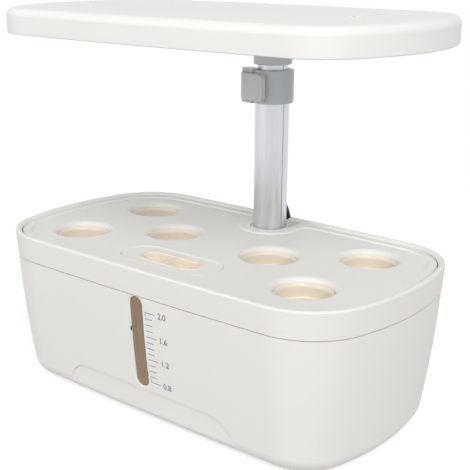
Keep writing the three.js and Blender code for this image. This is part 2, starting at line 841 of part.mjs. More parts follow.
// The lever: a flat plate in front of the collar, with a knuckle round the pin at its left end.
function clampLever() {
  const front = leverBack - leverThick;
  const plan = new THREE.Shape();
  plan.moveTo(leverRight, leverBack);
  plan.lineTo(-leverPinAcross + knuckleRadius, leverBack);
  plan.lineTo(-leverPinAcross + knuckleRadius, -leverPinForward);
  plan.absarc(-leverPinAcross, -leverPinForward, knuckleRadius, 0, Math.PI);
  plan.lineTo(-leverPinAcross - knuckleRadius, leverBack);
  plan.lineTo(-leverLeft, front);
  plan.lineTo(leverRight - leverEndRound, front);
  plan.absarc(leverRight - leverEndRound, front + leverEndRound, leverEndRound, -quarterTurn, 0);
  const halfLength = (leverLeft + leverRight) / 2 + leverCorner;
  const halfHeight = (leverTop - leverFoot) / 2;
  const face = prism(roundedRectangle(halfLength, halfHeight, leverCorner), 0, 2 * clampRadius)
    .rotateX(quarterTurn)
    .translate(leverRight - halfLength, 0, (leverTop + leverFoot) / 2);
  const pinHole = rod(clampPinRadius + slideGap, leverFoot - cutOver, leverTop + cutOver, smallSteps)
    .translate(-leverPinAcross, -leverPinForward, 0);
  return cut(common(prism(plan, leverFoot, leverTop), face), pinHole);
}

function lampCollar() {
  const bore = innerTubeRadius + slideGap;
  const roof = collarTop - collarRoof;
  const body = turned([
    [bore, collarBottom],
    [collarRadius - collarSoft, collarBottom],
    [collarRadius, collarBottom + collarSoft],
    [collarRadius, collarTop],
    [wireHoleRadius, collarTop],
    [wireHoleRadius, roof],
    [bore, roof],
    [bore, collarBottom],
  ]);
  const screwHoles = [-collarScrewAcross, collarScrewAcross].map((x) =>
    rod(screwRadius + slideGap, roof - cutOver, collarTop + cutOver, smallSteps / 2).translate(x, 0, 0),
  );
  return cut(body, ...screwHoles);
}

// Places in the lamp, with heights from the cover's lower edge.
const lampCeiling = lampThick - lampWall;
const trayTop = trayLift + trayThick;
const frameTop = trayTop + trayFrameHeight;
const boardFoot = frameTop + restGap;
const collarInLamp = poleBack - lampBack;
const lampScrewPlaces = [lampScrewFront, lampScrewRear].flatMap(({ across, back }) => [
  [-across, back],
  [across, back],
]);
const screwHeadDepth = screwHeadThick + restGap;

function lampCover() {
  const shell = round(lampOval, [
    ...arc(lampWall + lampInnerRound, lampCeiling - lampInnerRound, lampInnerRound, quarterTurn, 0, 1),
    [lampWall, 0],
    [lampFootSoft, 0],
    [0, lampFootSoft],
    ...arc(lampRound, lampThick - lampRound, lampRound, 0, quarterTurn, 3),
  ]);
  const bosses = lampScrewPlaces.map(([x, y]) =>
    pipe(lampBossRadius, screwRadius + slideGap, trayTop + restGap, lampCeiling + weld, smallSteps / 2).translate(x, y, 0),
  );
  const buttonHole = rod(buttonRadius + slideGap, lampCeiling - cutOver, lampThick + cutOver, holeSteps)
    .translate(buttonAcross, 0, 0);
  return cut(join(shell, ...bosses), buttonHole);
}

const diffuserShape = (margin) =>
  roundedRectangle(diffuserHalfLength + margin, diffuserHalfWidth + margin, diffuserCorner + margin);

function lampTray() {
  const edge = lampWall + slideGap;
  const plate = round(lampOval, [[edge, trayLift], [edge, trayTop]]);
  const frame = prism(diffuserShape(diffuserLap + slideGap + trayFrameWall), trayLift, frameTop);
  const recess = prism(diffuserShape(diffuserLap + slideGap), trayTop, frameTop + cutOver);
  const opening = prism(diffuserShape(0), trayLift - cutOver, frameTop);
  const screwHoles = lampScrewPlaces.map(([x, y]) =>
    join(
      rod(screwRadius + slideGap, trayLift - cutOver, trayTop + cutOver, smallSteps / 2),
      rod(screwHeadRadius + slideGap, trayLift - cutOver, trayLift + screwHeadDepth, smallSteps / 2),
    ).translate([x, y, 0]),
  );
  const collarHoles = [-collarScrewAcross, 0, collarScrewAcross].map((x) => {
    const radius = x ? screwRadius + slideGap : wireHoleRadius;
    return rod(radius, trayLift - cutOver, trayTop + cutOver, smallSteps / 2).translate(x, collarInLamp, 0);
  });
  return cut(
    join(plate, frame.translate(0, -diffuserForward, 0)),
    recess.translate(0, -diffuserForward, 0),
    opening.translate(0, -diffuserForward, 0),
    ...screwHoles,
    ...collarHoles,
  );
}

// The light board, with its lamps on the underside.
function ledBoard() {
  const plate = prism(diffuserShape(diffuserLap + trayFrameWall), boardFoot, boardFoot + boardThick, smallSteps / 2);
  const lamps = [];
  for (let row = 0; row < ledRows; row++)
    for (let column = 0; column < ledColumns; column++) {
      const x = (column - (ledColumns - 1) / 2) * ledPitchAcross;
      const y = (row - (ledRows - 1) / 2) * ledPitchForward;
      lamps.push(
        block(
          [x - ledSize / 2, y - ledSize / 2, boardFoot - ledThick],
          [x + ledSize / 2, y + ledSize / 2, boardFoot + boardThick / 2],
        ),
      );
    }
  return join(plate, ...lamps);
}

// The driver board stands on four legs beside the light board.
function driverBoard() {
  const foot = trayTop + restGap;
  const boardLow = foot + driverLegHeight;
  const halfLength = driverLength / 2;
  const halfWidth = driverWidth / 2;
  const boardHigh = boardLow + boardThick;
  const legs = [-1, 1].flatMap((x) =>
    [-1, 1].map((y) =>
      rod(driverLegRadius, foot, boardLow + boardThick / 2, smallSteps / 2)
        .translate(x * (halfLength - 2 * driverLegRadius), y * (halfWidth - 2 * driverLegRadius), 0),
    ),
  );
  const chip = block([-chipSize / 2, -chipSize / 2, boardLow], [chipSize / 2, chipSize / 2, boardHigh + chipThick]);
  const capacitor = rod(capacitorRadius, -capacitorLength / 2, capacitorLength / 2, smallSteps)
    .rotateY(quarterTurn)
    .translate(halfLength / 2, 0, boardHigh + capacitorRadius / 2);
  return join(block([-halfLength, -halfWidth, boardLow], [halfLength, halfWidth, boardHigh]), ...legs, chip, capacitor);
}

const buttonTop = lampThick + buttonProud;
const buttonFoot = boardFoot + boardThick + buttonTravel + buttonStopGap;

function modeButton() {
  const flangeTop = lampCeiling - restGap;
  const flangeFoot = flangeTop - buttonFlangeThick;
  const pocket = lensRadius + slideGap;
  const pocketFloor = buttonTop - lensThick;
  return turned(
    [[0, buttonFoot], [buttonStemRadius, buttonFoot], [buttonStemRadius, flangeFoot],
      [buttonRadius + buttonFlange, flangeFoot], [buttonRadius + buttonFlange, flangeTop],
      [buttonRadius, flangeTop], [buttonRadius, buttonTop], [pocket, buttonTop], [pocket, pocketFloor],
      [0, pocketFloor]],
    holeSteps,
  );
}

function buttonLens() {
  return rod(lensRadius, buttonTop - lensThick + restGap, buttonTop, smallSteps);
}

// The deck, with heights from its field. A raised lip goes round its edge and round the pole's notch.
const deckInset = rimWidth + deckEdgeGap;
const deckSkirt = deckTop - ledgeTop - restGap;

function fillerShape(margin) {
  return stadium(fillerHalfLength + margin, fillerRadius + margin);
}

function holeCutter() {
  const bore = holeRadius - holeRound;
  const lip = bore - holeLedge;
  const bottom = -holeBoreDepth - holeLedgeThick - cutOver;
  return turned(
    [[0, cutOver], [holeRadius, cutOver],
      ...arc(holeRadius, -holeRound, holeRound, quarterTurn, 0, 2),
      [bore, -holeBoreDepth], [lip, -holeBoreDepth], [lip, bottom], [0, bottom]],
    holeSteps,
  );
}

function deck() {
  const skirtIn = deckInset + deckEdgeWall;
  const lipIn = deckInset + lipWidth;
  const plate = round(tankOval, [
    [skirtIn, -deckThick],
    [skirtIn, -deckSkirt],
    [deckInset, -deckSkirt],
    [deckInset, lipHeight - rimSoft],
    [deckInset + rimSoft, lipHeight],
    [lipIn - lipSlope, lipHeight],
    [lipIn, 0],
  ]);
  const within = round(tankOval, [[deckInset, -deckSkirt], [deckInset, lipHeight]]);
  const notchSides = join(
    tongue(notchHalfWidth + notchLip, -deckThick, lipHeight, notchFlare),
    tongue(notchHalfWidth + notchWall, -deckSkirt, 0, notchFlare),
  );
  const collarFoot = -holeBoreDepth - holeLedgeThick;
  const collars = holePlaces.map(({ across, back }) =>
    rod(holeRadius - holeRound + holeWall, collarFoot, -deckThick / 2, holeSteps).translate(across, back, 0),
  );
  const frameFoot = -fillerThick - restGap - fillerFrameDepth;
  const frame = prism(fillerShape(fillerFrameWall), frameFoot, -deckThick / 2);
  const seat = prism(fillerShape(slideGap), -fillerThick - restGap, lipHeight);
  const mouth = prism(fillerShape(-fillerSeat), frameFoot - cutOver, 0);
  return cut(
    join(plate, common(notchSides, within), ...collars, frame.translate(0, -fillerForward, 0)),
    tongue(notchHalfWidth, -deckSkirt - cutOver, lipHeight + cutOver, notchFlare, smallSteps),
    ...holePlaces.map(({ across, back }) => holeCutter().translate(across, back, 0)),
    seat.translate(0, -fillerForward, 0),
    mouth.translate(0, -fillerForward, 0),
  );
}

// A net cup, with heights from its rim: a plain upper cup, a step that rests on the hole's ledge, and a
// slotted net below it.
function netCup() {
  const outer = holeRadius - holeRound - slideGap;
  const stepFoot = cupTopBelow - holeBoreDepth + restGap;
  const stepTop = stepFoot + cupStepThick;
  const netOut = cupNetRadius;
  const footTop = -cupHeight + cupWall;
  const body = turned(
    [[0, -cupHeight], [cupFootRadius, -cupHeight], [netOut, stepFoot], [outer, stepFoot], [outer, 0],
      [outer - cupWall, 0], [outer - cupWall, stepTop], [netOut - cupWall, stepTop],
      [cupFootRadius - cupWall, footTop], [0, footTop]],
    holeSteps,
  );
  const netHeight = stepFoot + cupHeight;
  const slotFoot = -cupHeight + netHeight * cupSlotFootShare;
  const slotTop = -cupHeight + netHeight * cupSlotTopShare;
  const slots = Array.from({ length: cupSlots }, (_, index) =>
    block([-netOut, -cupSlotWidth / 2, slotFoot], [netOut, cupSlotWidth / 2, slotTop])
      .rotateZ(((index + 1 / 2) * Math.PI) / cupSlots),
  );
  return cut(body, ...slots);
}

// The filler lid, with heights from the deck's field: a plate with a bead round its edge, and a skirt that
// hangs into the port.
function fillerLid() {
  const skirtMargin = -fillerSeat - slideGap;
  const plate = prism(fillerShape(0), -fillerThick, 0);
  const bead = cut(prism(fillerShape(0), -fillerThick, fillerBeadHeight), prism(fillerShape(-fillerBead), 0, lipHeight));
  const skirt = cut(
    prism(fillerShape(skirtMargin), -fillerThick - fillerSkirtDepth, -fillerThick / 2),
    prism(fillerShape(skirtMargin - fillerSkirtWall), -fillerThick - fillerSkirtDepth - cutOver, -fillerThick),
  );
  const rebate = prism(bowlShape(bowlRim + slideGap), -bowlRimThick - restGap, lipHeight);
  const opening = prism(bowlShape(bowlWall + slideGap), -fillerThick - cutOver, 0);
  const dimples = [-1, 1].map((side) =>
    rod(dimpleRadius, -dimpleDepth, lipHeight, smallSteps / 2).translate(side * (fillerHalfLength - dimpleIn), 0, 0),
  );
  return cut(join(plate, bead, skirt), rebate, opening, ...dimples);
}

function bowlShape(margin) {
  return stadium(bowlHalfLength + margin, bowlRadius + margin);
}

// The grip bowl in the lid, with a web across it that is wide at its ends and narrow at its middle.
function fillerGrip() {
  const floor = -bowlDepth - bowlWall;
  const rim = prism(bowlShape(bowlRim), -bowlRimThick, 0);
  const outside = prism(bowlShape(0), floor, -bowlRimThick / 2);
  const hollow = prism(bowlShape(-bowlWall), -bowlDepth, cutOver);
  const web = new THREE.Shape();
  const reach = bowlRadius;
  web.moveTo(-webHalfWide, -reach);
  web.quadraticCurveTo(-webHalfNarrow + (webHalfWide - webHalfNarrow) * webBowShare, 0, -webHalfWide, reach);
  web.lineTo(webHalfWide, reach);
  web.quadraticCurveTo(webHalfNarrow - (webHalfWide - webHalfNarrow) * webBowShare, 0, webHalfWide, -reach);
  const grip = common(prism(web, floor, -webBelow, smallSteps / 2), outside);
  return join(cut(join(rim, outside), hollow), grip);
}

// Pump pieces, with heights from the tub's floor and the shaft along Y.
const pumpFoot = cupFootHeight + restGap;
const shaftHeight = pumpFoot + pumpHeight / 2;
const pumpFront = -pumpLength / 2;
const rotorFront = pumpFront + rotorGap;
const rotorBack = rotorFront + vaneHeight + rotorDisc + magnetLength;

// A round piece or cutter about the pump's shaft axis.
const onShaft = (geometry) => geometry.rotateX(-quarterTurn).translate(0, 0, shaftHeight);

function pumpHousing() {
  const shape = roundedRectangle(pumpWidth / 2, pumpHeight / 2, pumpCorner);
  const body = prism(shape, pumpFront, -pumpFront, smallSteps / 4);
  const chamber = rod(chamberRadius, pumpFront - cutOver, pumpFront + chamberDepth, holeSteps);
  const magnetBore = rod(magnetRadius + slideGap, pumpFront, rotorBack + rotorGap, smallSteps);
  const shaftBore = rod(shaftRadius + slideGap, pumpFront, rotorBack + rotorGap + shaftSeat, smallSteps);
  const outlet = rod(outletBore, shaftHeight, pumpFoot + pumpHeight + cutOver, smallSteps)
    .translate(outletSide - outletBore, pumpFront + chamberDepth / 2, 0);
  const lift = body.rotateX(-quarterTurn).translate(0, 0, shaftHeight);
  return cut(lift, onShaft(chamber), onShaft(magnetBore), onShaft(shaftBore), outlet);
}

function impeller() {
  const discFront = rotorFront + vaneHeight;
  const bore = rod(shaftRadius + slideGap, rotorFront - cutOver, rotorBack + cutOver, smallSteps);
  const vanes = Array.from({ length: vaneCount }, (_, index) =>
    block([0, -vaneThick / 2, rotorFront], [rotorRadius, vaneThick / 2, discFront + rotorDisc / 2])
      .rotateZ((2 * Math.PI * index) / vaneCount),
  );
  const wheel = join(
    rod(rotorRadius, discFront, discFront + rotorDisc, smallSteps),
    rod(hubRadius, rotorFront, discFront + rotorDisc, smallSteps),
    rod(magnetRadius, discFront, rotorBack, smallSteps),
    ...vanes,
  );
  return cut(wheel, bore);
}

function impellerShaft() {
  const from = pumpFront - restGap - shaftSeat / 2;
  return onShaft(rod(shaftRadius, from, rotorBack + rotorGap + shaftSeat - restGap, smallSteps));
}

function pumpCover() {
  const back = pumpFront - restGap;
  const shape = roundedRectangle(pumpWidth / 2, pumpHeight / 2, pumpCorner);
  const plate = prism(shape, back - coverThick, back, smallSteps / 4);
  const slots = Array.from({ length: coverSlots }, (_, index) =>
    [-1, 1].map((side) => {
      const y = (index - (coverSlots - 1) / 2) * coverSlotPitch;
      const near = side * (hubRadius + coverSlotWidth / 2);
      const far = side * (hubRadius + coverSlotWidth / 2 + coverSlotLength);
      return block(
        [Math.min(near, far), y - coverSlotWidth / 2, back - coverThick - cutOver],
        [Math.max(near, far), y + coverSlotWidth / 2, back + cutOver],
      );
    }),
  ).flat();
  const seat = rod(shaftRadius + slideGap, back - shaftSeat / 2 - restGap, back + cutOver, smallSteps);
  return onShaft(geometryOf(cut(plate, ...slots, seat)));
}

function pumpOutlet() {
  const foot = pumpFoot + pumpHeight + restGap;
  return turned(
    [[outletBore, foot], [outletRadius + outletFlange, foot], [outletRadius + outletFlange, foot + outletFlange],
      [outletRadius, foot + outletFlange], [outletRadius, foot + outletHeight], [outletBore, foot + outletHeight],
      [outletBore, foot]],
    smallSteps,
  );
}

function suctionCup() {
  return turned(
    [[0, restGap], [suctionRadius, restGap], [suctionNeck, cupFootHeight / 2], [suctionNeck, cupFootHeight],
      [0, cupFootHeight]],
    smallSteps / 2,
  );
}

// A round tube along a smooth curve through points, with both ends straight for one diameter.
function tubeAlong(points, diameter, sides, steps) {
  const curve = new THREE.CatmullRomCurve3(points, false, "centripetal");
  const shape = new THREE.Shape();
  for (let side = 0; side <= sides; side++) {
    const angle = (2 * Math.PI * (side + 1 / 2)) / sides;
    const [x, y] = [(Math.cos(angle) * diameter) / 2, (Math.sin(angle) * diameter) / 2];
    if (side === 0) shape.moveTo(x, y);
    else shape.lineTo(x, y);
  }
  return new THREE.ExtrudeGeometry(shape, { steps, bevelEnabled: false, extrudePath: curve });
}

const vector = ([x, y, z]) => new THREE.Vector3(x, y, z);

// Points of a route, with a straight lead-in and lead-out of one diameter.
function withStraightEnds(from, direction, points, to, arrival, diameter) {
  const start = vector(from);
  const end = vector(to);
  return [
    start,
    start.clone().addScaledVector(direction, diameter),
    ...points,
    end.clone().addScaledVector(arrival, -diameter),
    end,
  ];
}

function pumpCord() {
  const foot = tubFloor + pumpFoot + pumpHeight + restGap;
  const from = [pumpAcross - pumpWidth / 4, pumpBack + pumpLength / 4, foot];
  const to = [0, poleBack, socketBottom + socketFloor / 2];
  const up = new THREE.Vector3(0, 0, 1);
  const middle = vector(from).lerp(vector([to[0], to[1], foot]), 1 / 2);
  middle.z = foot + cordDiameter;
  const before = vector([to[0], to[1], foot]).lerp(middle, 1 / 4);
  before.z = foot + cordDiameter / 2;
  const points = withStraightEnds(from, up, [middle, before], to, up, pumpCordRadius);
  return tubeAlong(points, 2 * pumpCordRadius, coilSides, pumpCordSteps);
}

// The boot where the lead leaves the pole's back: a flange inside the tube and a taper outside it.
function cordBoot() {
  const inside = Math.sqrt((poleRadius - poleWall) ** 2 - bootFlangeRadius ** 2) - restGap;
  const outside = poleRadius + restGap;
  const bore = cordDiameter / 2 + slideGap;
  const neck = bootHoleRadius - slideGap / 2;
  const end = outside + bootLength;
  return turned(
    [[0, inside - bootFlange], [bootFlangeRadius, inside - bootFlange], [bootFlangeRadius, inside],
      [neck, inside], [neck, outside], [bootRadius, outside], [bore, end], [0, end]],
    smallSteps,
  );
}

// Centre line of the coil: it winds in on the floor, climbs a layer at its inside, and winds out again.
function coilPoint(turn) {
  const middle = coilTurns / 2;
  const radius = coilMidRadius - coilSpread + coilPitch * Math.abs(turn - middle);
  const climb = THREE.MathUtils.smootherstep(turn, middle - 1 / 4, middle + 1 / 4);
  const angle = 2 * Math.PI * turn;
  return new THREE.Vector3(
    coilAcross + radius * Math.cos(angle),
    coilBack + radius * Math.sin(angle),
    cordDiameter / 2 + climb * coilLayer,
  );
}

const coilStart = coilPoint(0);
const coilEnd = coilPoint(coilTurns);
const coilEntry = new THREE.Vector3(0, 1, 0);
const coilExit = new THREE.Vector3(-1, 0, 0);

function coilPoints() {
  const count = Math.round(coilTurns * coilSteps);
  const turns = Array.from({ length: count + 1 }, (_, step) => coilPoint((coilTurns * step) / count));
  return [
    coilStart.clone().addScaledVector(coilEntry, -cordDiameter),
    ...turns,
    coilEnd.clone().addScaledVector(coilExit, cordDiameter),
  ];
}

// A tube whose sections stand upright on a route that lies nearly flat.
function uprightTube(points, diameter, sides) {
  const positions = [];
  const index = [];
  points.forEach((point, step) => {
    const along = points[Math.min(step + 1, points.length - 1)].clone().sub(points[Math.max(step - 1, 0)]);
    const side = new THREE.Vector3(along.y, -along.x, 0).normalize();
    for (let corner = 0; corner < sides; corner++) {
      const angle = (2 * Math.PI * (corner + 1 / 2)) / sides;
      const across = (Math.sin(angle) * diameter) / 2;
      const rise = (-Math.cos(angle) * diameter) / 2;
      const place = point.clone().addScaledVector(side, rise);
      positions.push(place.x, place.y, place.z + across);
    }
  });
  for (let step = 1; step < points.length; step++)
    for (let corner = 0; corner < sides; corner++) {
      const low = (step - 1) * sides;
      const high = step * sides;
      const next = (corner + 1) % sides;
      index.push(low + corner, low + next, high + next, low + corner, high + next, high + corner);
    }
  const last = (points.length - 1) * sides;
  for (let corner = 2; corner < sides; corner++)
    index.push(0, corner, corner - 1, last, last + corner - 1, last + corner);
  const geometry = new THREE.BufferGeometry();
  geometry.setAttribute("position", new THREE.Float32BufferAttribute(positions, 3));
  geometry.setIndex(index);
  return geometry;
}

// The least gap between turns of the coil, from points at least half a turn apart.
function coilGap(points) {
  let least = Infinity;
  for (let i = 0; i < points.length; i++)
    for (let j = i + coilSteps / 2; j < points.length; j++) least = Math.min(least, points[i].distanceTo(points[j]));
  return least - cordDiameter;
}

const bootEnd = poleBack + poleRadius + restGap + bootLength;
const adapterFace = adapterBootLength + restGap;
const tailStart = coilEnd.clone().addScaledVector(coilExit, cordDiameter + restGap);
const tailEnd = tailStart.clone().addScaledVector(coilExit, tailLength).setZ(tailStart.z + tailRise);

function powerCord() {
  const back = new THREE.Vector3(0, 1, 0);
  const from = [0, bootEnd + restGap, cordExitHeight];
  const to = coilStart.clone().addScaledVector(coilEntry, -cordDiameter - restGap);
  const points = withStraightEnds(from, back, leadPoints.map(vector), to.toArray(), coilEntry, cordDiameter / 2);
  return tubeAlong(points, cordDiameter, cordSides, leadSteps);
}

function cordTail() {
  const middle = tailStart.clone().lerp(tailEnd, 1 / 2);
  const points = withStraightEnds(tailStart.toArray(), coilExit, [middle], tailEnd.toArray(), coilExit, cordDiameter);
  return tubeAlong(points, cordDiameter, cordSides, tailSteps);
}

// The adapter's sleeve, along X from the lead towards the adapter.
function adapterBoot() {
  return turned(
    [[0, 0], [cordDiameter / 2, 0], [adapterBootRadius, adapterBootLength], [0, adapterBootLength]],
    smallSteps,
  ).rotateY(-quarterTurn);
}

function adapterBody() {
  const shape = roundedRectangle(adapterLength / 2, adapterWidth / 2, adapterCorner);
  const settings = {
    depth: adapterHeight - 2 * adapterSoft,
    bevelThickness: adapterSoft,
    bevelSize: adapterSoft,
    bevelOffset: -adapterSoft,
    bevelSegments: 1,
    curveSegments: smallSteps / 4,
  };
  const body = new THREE.ExtrudeGeometry(shape, settings).translate(-adapterLength / 2, 0, adapterSoft);
  const slots = [-1, 1].map((side) => {
    const y = (side * prongPitch) / 2;
    const halfThick = prongThick / 2 + slideGap;
    const halfWidth = prongWidth / 2 + slideGap;
    return block(
      [-adapterLength - cutOver, y - halfThick, adapterHeight / 2 - halfWidth],
      [-adapterLength + prongSeat, y + halfThick, adapterHeight / 2 + halfWidth],
    );
  });
  return cut(body, ...slots);
}

function prong() {
  return block(
    [-adapterLength - prongLength, -prongThick / 2, (adapterHeight - prongWidth) / 2],
    [-adapterLength + prongSeat - restGap, prongThick / 2, (adapterHeight + prongWidth) / 2],
  );
}

// Assembly.
const garden = new THREE.Group();

function group(parent, x, y, z) {
  const made = new THREE.Group();
  made.position.set(x, y, z);
  parent.add(made);
  return made;
}

function addTank() {
  add(garden, "tank_tub", tub(), "shell");
  add(garden, "rim_frame", rimFrame(), "shell");
  add(garden, "water_window", waterWindow(), "tinted");
  add(garden, "window_gasket", windowGasket(), "rubber");
  footPlaces.forEach(([x, y], index) => {
    const top = footProud + footSeat - restGap;
    const foot = add(garden, `foot_${index + 1}`, rod(footRadius, 0, top, smallSteps), "rubber");
    foot.position.set(x, y, 0);
  });
}

function addPole() {
  const pole = group(garden, 0, poleBack, 0);
  add(pole, "pole_socket", poleSocket(), "shell");
  socketScrewPlaces.forEach((x, index) => {
    const head = ledgeFoot - restGap - socketFlangeThick - restGap;
    const length = ledgeTop - head - restGap;
    add(pole, `socket_screw_${index + 1}`, screw(length), "steel").position.set(x, 0, head);
  });
  add(pole, "pole_tube", poleTube(), "aluminium");
  const clamp = group(pole, 0, 0, 0);
  clamp.rotation.z = clampTurn;
  add(clamp, "clamp_collar", clampCollar(), "grey");
  add(clamp, "clamp_lever", clampLever(), "grey");
  const pin = rod(clampPinRadius, clampBottom + 2 * restGap, clampTop - 2 * restGap, smallSteps);
  add(clamp, "clamp_pin", pin, "steel").position.set(-leverPinAcross, -leverPinForward, 0);
  add(pole, "inner_tube", groovedTube(innerTubeRadius, innerTubeWall, innerTubeBottom, innerTubeTop), "aluminium");
  add(pole, "inner_tube_plug", innerTubePlug(), "dark");
  add(pole, "lamp_collar", lampCollar(), "grey");
  [-collarScrewAcross, collarScrewAcross].forEach((x, index) => {
    const under = lampBottom + trayTop + restGap;
    const drop = under - (collarTop - collarRoof) - restGap;
    const fastener = add(pole, `collar_screw_${index + 1}`, screw(drop), "steel");
    fastener.rotation.x = Math.PI;
    fastener.position.set(x, 0, under);
  });
}

function addLamp() {
  const lamp = group(garden, 0, lampBack, lampBottom);
  add(lamp, "lamp_cover", lampCover(), "shell");
  add(lamp, "lamp_tray", lampTray(), "shell");
  const light = group(lamp, 0, -diffuserForward, 0);
  const diffuser = prism(diffuserShape(diffuserLap), trayTop + restGap, trayTop + restGap + diffuserThick);
  add(light, "diffuser", diffuser, "diffuser");
  add(light, "led_board", ledBoard(), "board");
  add(lamp, "driver_board", driverBoard(), "circuit").position.set(driverAcross, driverBack, 0);
  const button = group(lamp, buttonAcross, 0, 0);
  add(button, "mode_button", modeButton(), "shell");
  add(button, "button_lens", buttonLens(), "dark");
  lampScrewPlaces.forEach(([x, y], index) => {
    const head = trayLift + screwHeadDepth - restGap;
    add(lamp, `lamp_screw_${index + 1}`, screw(lampScrewLength), "steel").position.set(x, y, head);
  });
}

function addDeck() {
  const top = group(garden, 0, 0, deckTop);
  add(top, "deck", deck(), "deck");
  holePlaces.forEach(({ across, back }, index) => {
    add(top, `net_cup_${index + 1}`, netCup(), "cream").position.set(across, back, -cupTopBelow);
  });
  const port = group(top, 0, -fillerForward, 0);
  add(port, "filler_lid", fillerLid(), "deck");
  add(port, "filler_grip", fillerGrip(), "cream");
}

function addPump() {
  const pump = group(garden, pumpAcross, pumpBack, tubFloor);
  add(pump, "pump_housing", pumpHousing(), "pump");
  add(pump, "pump_cover", pumpCover(), "pump");
  add(pump, "impeller", onShaft(geometryOf(impeller())), "rotor");
  add(pump, "impeller_shaft", impellerShaft(), "ceramic");
  const outlet = add(pump, "pump_outlet", pumpOutlet(), "pump");
  outlet.position.set(outletSide - outletBore, pumpFront + chamberDepth / 2, 0);
  [-1, 1].flatMap((x) => [-1, 1].map((y) => [x, y])).forEach(([x, y], index) => {
    const cup = add(pump, `suction_cup_${index + 1}`, suctionCup(), "rubber");
    cup.position.set(x * suctionAcross, y * suctionBack, 0);
  });
  add(garden, "pump_cord", pumpCord(), "dark");
}

function addLead() {
  const boot = add(garden, "cord_boot", cordBoot(), "dark");
  boot.rotation.x = -quarterTurn;
  boot.position.set(0, poleBack, cordExitHeight);
  add(garden, "power_cord", powerCord(), "dark");
  const points = coilPoints();
  add(garden, "cord_coil", uprightTube(points, cordDiameter, coilSides), "dark");
  add(garden, "cord_tail", cordTail(), "dark");
  const plug = group(garden, tailEnd.x - restGap, tailEnd.y, 0);
  add(plug, "adapter_boot", adapterBoot(), "dark").position.set(0, 0, tailEnd.z);
  const adapter = group(plug, -adapterFace, 0, 0);
  add(adapter, "adapter_body", adapterBody(), "dark");
  [-1, 1].forEach((side, index) => {
    add(adapter, `prong_${index + 1}`, prong(), "brass").position.set(0, (side * prongPitch) / 2, 0);
  });
  console.log(`least gap between turns of the coil: ${coilGap(points).toFixed(2)} mm`);
}

addTank();
addPole();
addLamp();
addDeck();
addPump();
addLead();

export default garden;
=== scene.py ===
# Countertop hydroponic garden: a white water tank with a lift-out planting deck and net cups, and a flat grow
# lamp on a telescopic pole. Metres, +Z up, front of the tank towards -Y.
from math import atan2, cos, pi, radians, sin, tau

import bmesh
import bpy
from mathutils import Color, Matrix, Vector
from mathutils.geometry import intersect_sphere_sphere_2d


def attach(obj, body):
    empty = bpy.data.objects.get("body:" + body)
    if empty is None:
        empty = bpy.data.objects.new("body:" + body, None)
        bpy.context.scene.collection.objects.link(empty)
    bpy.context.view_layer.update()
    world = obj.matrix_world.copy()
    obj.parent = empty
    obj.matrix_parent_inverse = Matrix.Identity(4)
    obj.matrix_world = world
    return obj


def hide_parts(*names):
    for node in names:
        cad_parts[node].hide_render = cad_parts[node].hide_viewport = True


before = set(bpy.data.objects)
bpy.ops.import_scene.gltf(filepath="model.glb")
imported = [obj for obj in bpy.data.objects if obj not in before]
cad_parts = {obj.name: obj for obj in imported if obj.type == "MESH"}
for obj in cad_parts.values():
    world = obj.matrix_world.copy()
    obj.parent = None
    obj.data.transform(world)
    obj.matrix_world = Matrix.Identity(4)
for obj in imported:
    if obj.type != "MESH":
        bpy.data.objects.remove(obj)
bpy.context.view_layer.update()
mm = 0.001

# Camera
# It stands off the right front corner of the tank, a little higher than the lamp, and looks down on the planting
# deck.
camera = bpy.data.objects.new("camera", bpy.data.cameras.new("camera"))
bpy.context.scene.collection.objects.link(camera)
bpy.context.scene.camera = camera
camera.location = (0.36987, -0.43988, 0.26985)
camera.rotation_euler = (radians(90 - 16.56), 0, 0.716)
camera.data.sensor_width = 36
camera.data.lens = 75.05
camera.data.shift_x = 0.0692
camera.data.shift_y = 0.0075
bpy.context.scene.view_settings.view_transform = "Standard"


# Light, floor and backdrop
# One large soft lamp stands at the front right and a weaker one at the front left, in a pale room that is a little
# brighter to the front and the right. The camera sees the room and the far floor as plain white, and the floor
# round the garden as a pale sheet with its shadow on it.
class Wire:
    """What runs from one node to the next. An operator on it adds a Math node."""

    def __init__(self, finish, socket):
        self.finish = finish
        self.socket = socket

    def math(self, operation, first, second):
        return self.finish.node("Math", {"operation": operation}, {0: first, 1: second})

    def __add__(self, other):
        return self.math("ADD", self, other)

    def __radd__(self, other):
        return self.math("ADD", other, self)

    def __sub__(self, other):
        return self.math("SUBTRACT", self, other)

    def __rsub__(self, other):
        return self.math("SUBTRACT", other, self)

    def __mul__(self, other):
        return self.math("MULTIPLY", self, other)

    def __rmul__(self, other):
        return self.math("MULTIPLY", other, self)

    def __or__(self, other):
        return self.math("MAXIMUM", self, other)


class Finish:
    """The nodes of one material, or of the world."""

    def __init__(self, owner):
        owner.use_nodes = True
        self.owner = owner
        self.tree = owner.node_tree
        self.tree.nodes.clear()

    def node(self, kind, settings=None, values=None, output=0):
        """A new node with its settings, and with a value or a link on each socket that is named."""
        made = self.tree.nodes.new("ShaderNode" + kind)
        for name, value in (settings or {}).items():
            setattr(made, name, value)
        for name, value in (values or {}).items():
            socket = made.inputs[name]
            if isinstance(value, Wire):
                self.tree.links.new(value.socket, socket)
            else:
                socket.default_value = value
        return Wire(self, made.outputs[output]) if made.outputs else None

    def eye(self):
        """1 for what the camera sees, also in a mirror or through glass, and 0 for the rest of the light."""
        seen, mirrored, through = (
            self.node("LightPath", output=f"Is {ray} Ray") for ray in ("Camera", "Glossy", "Transmission")
        )
        return seen | mirrored | through


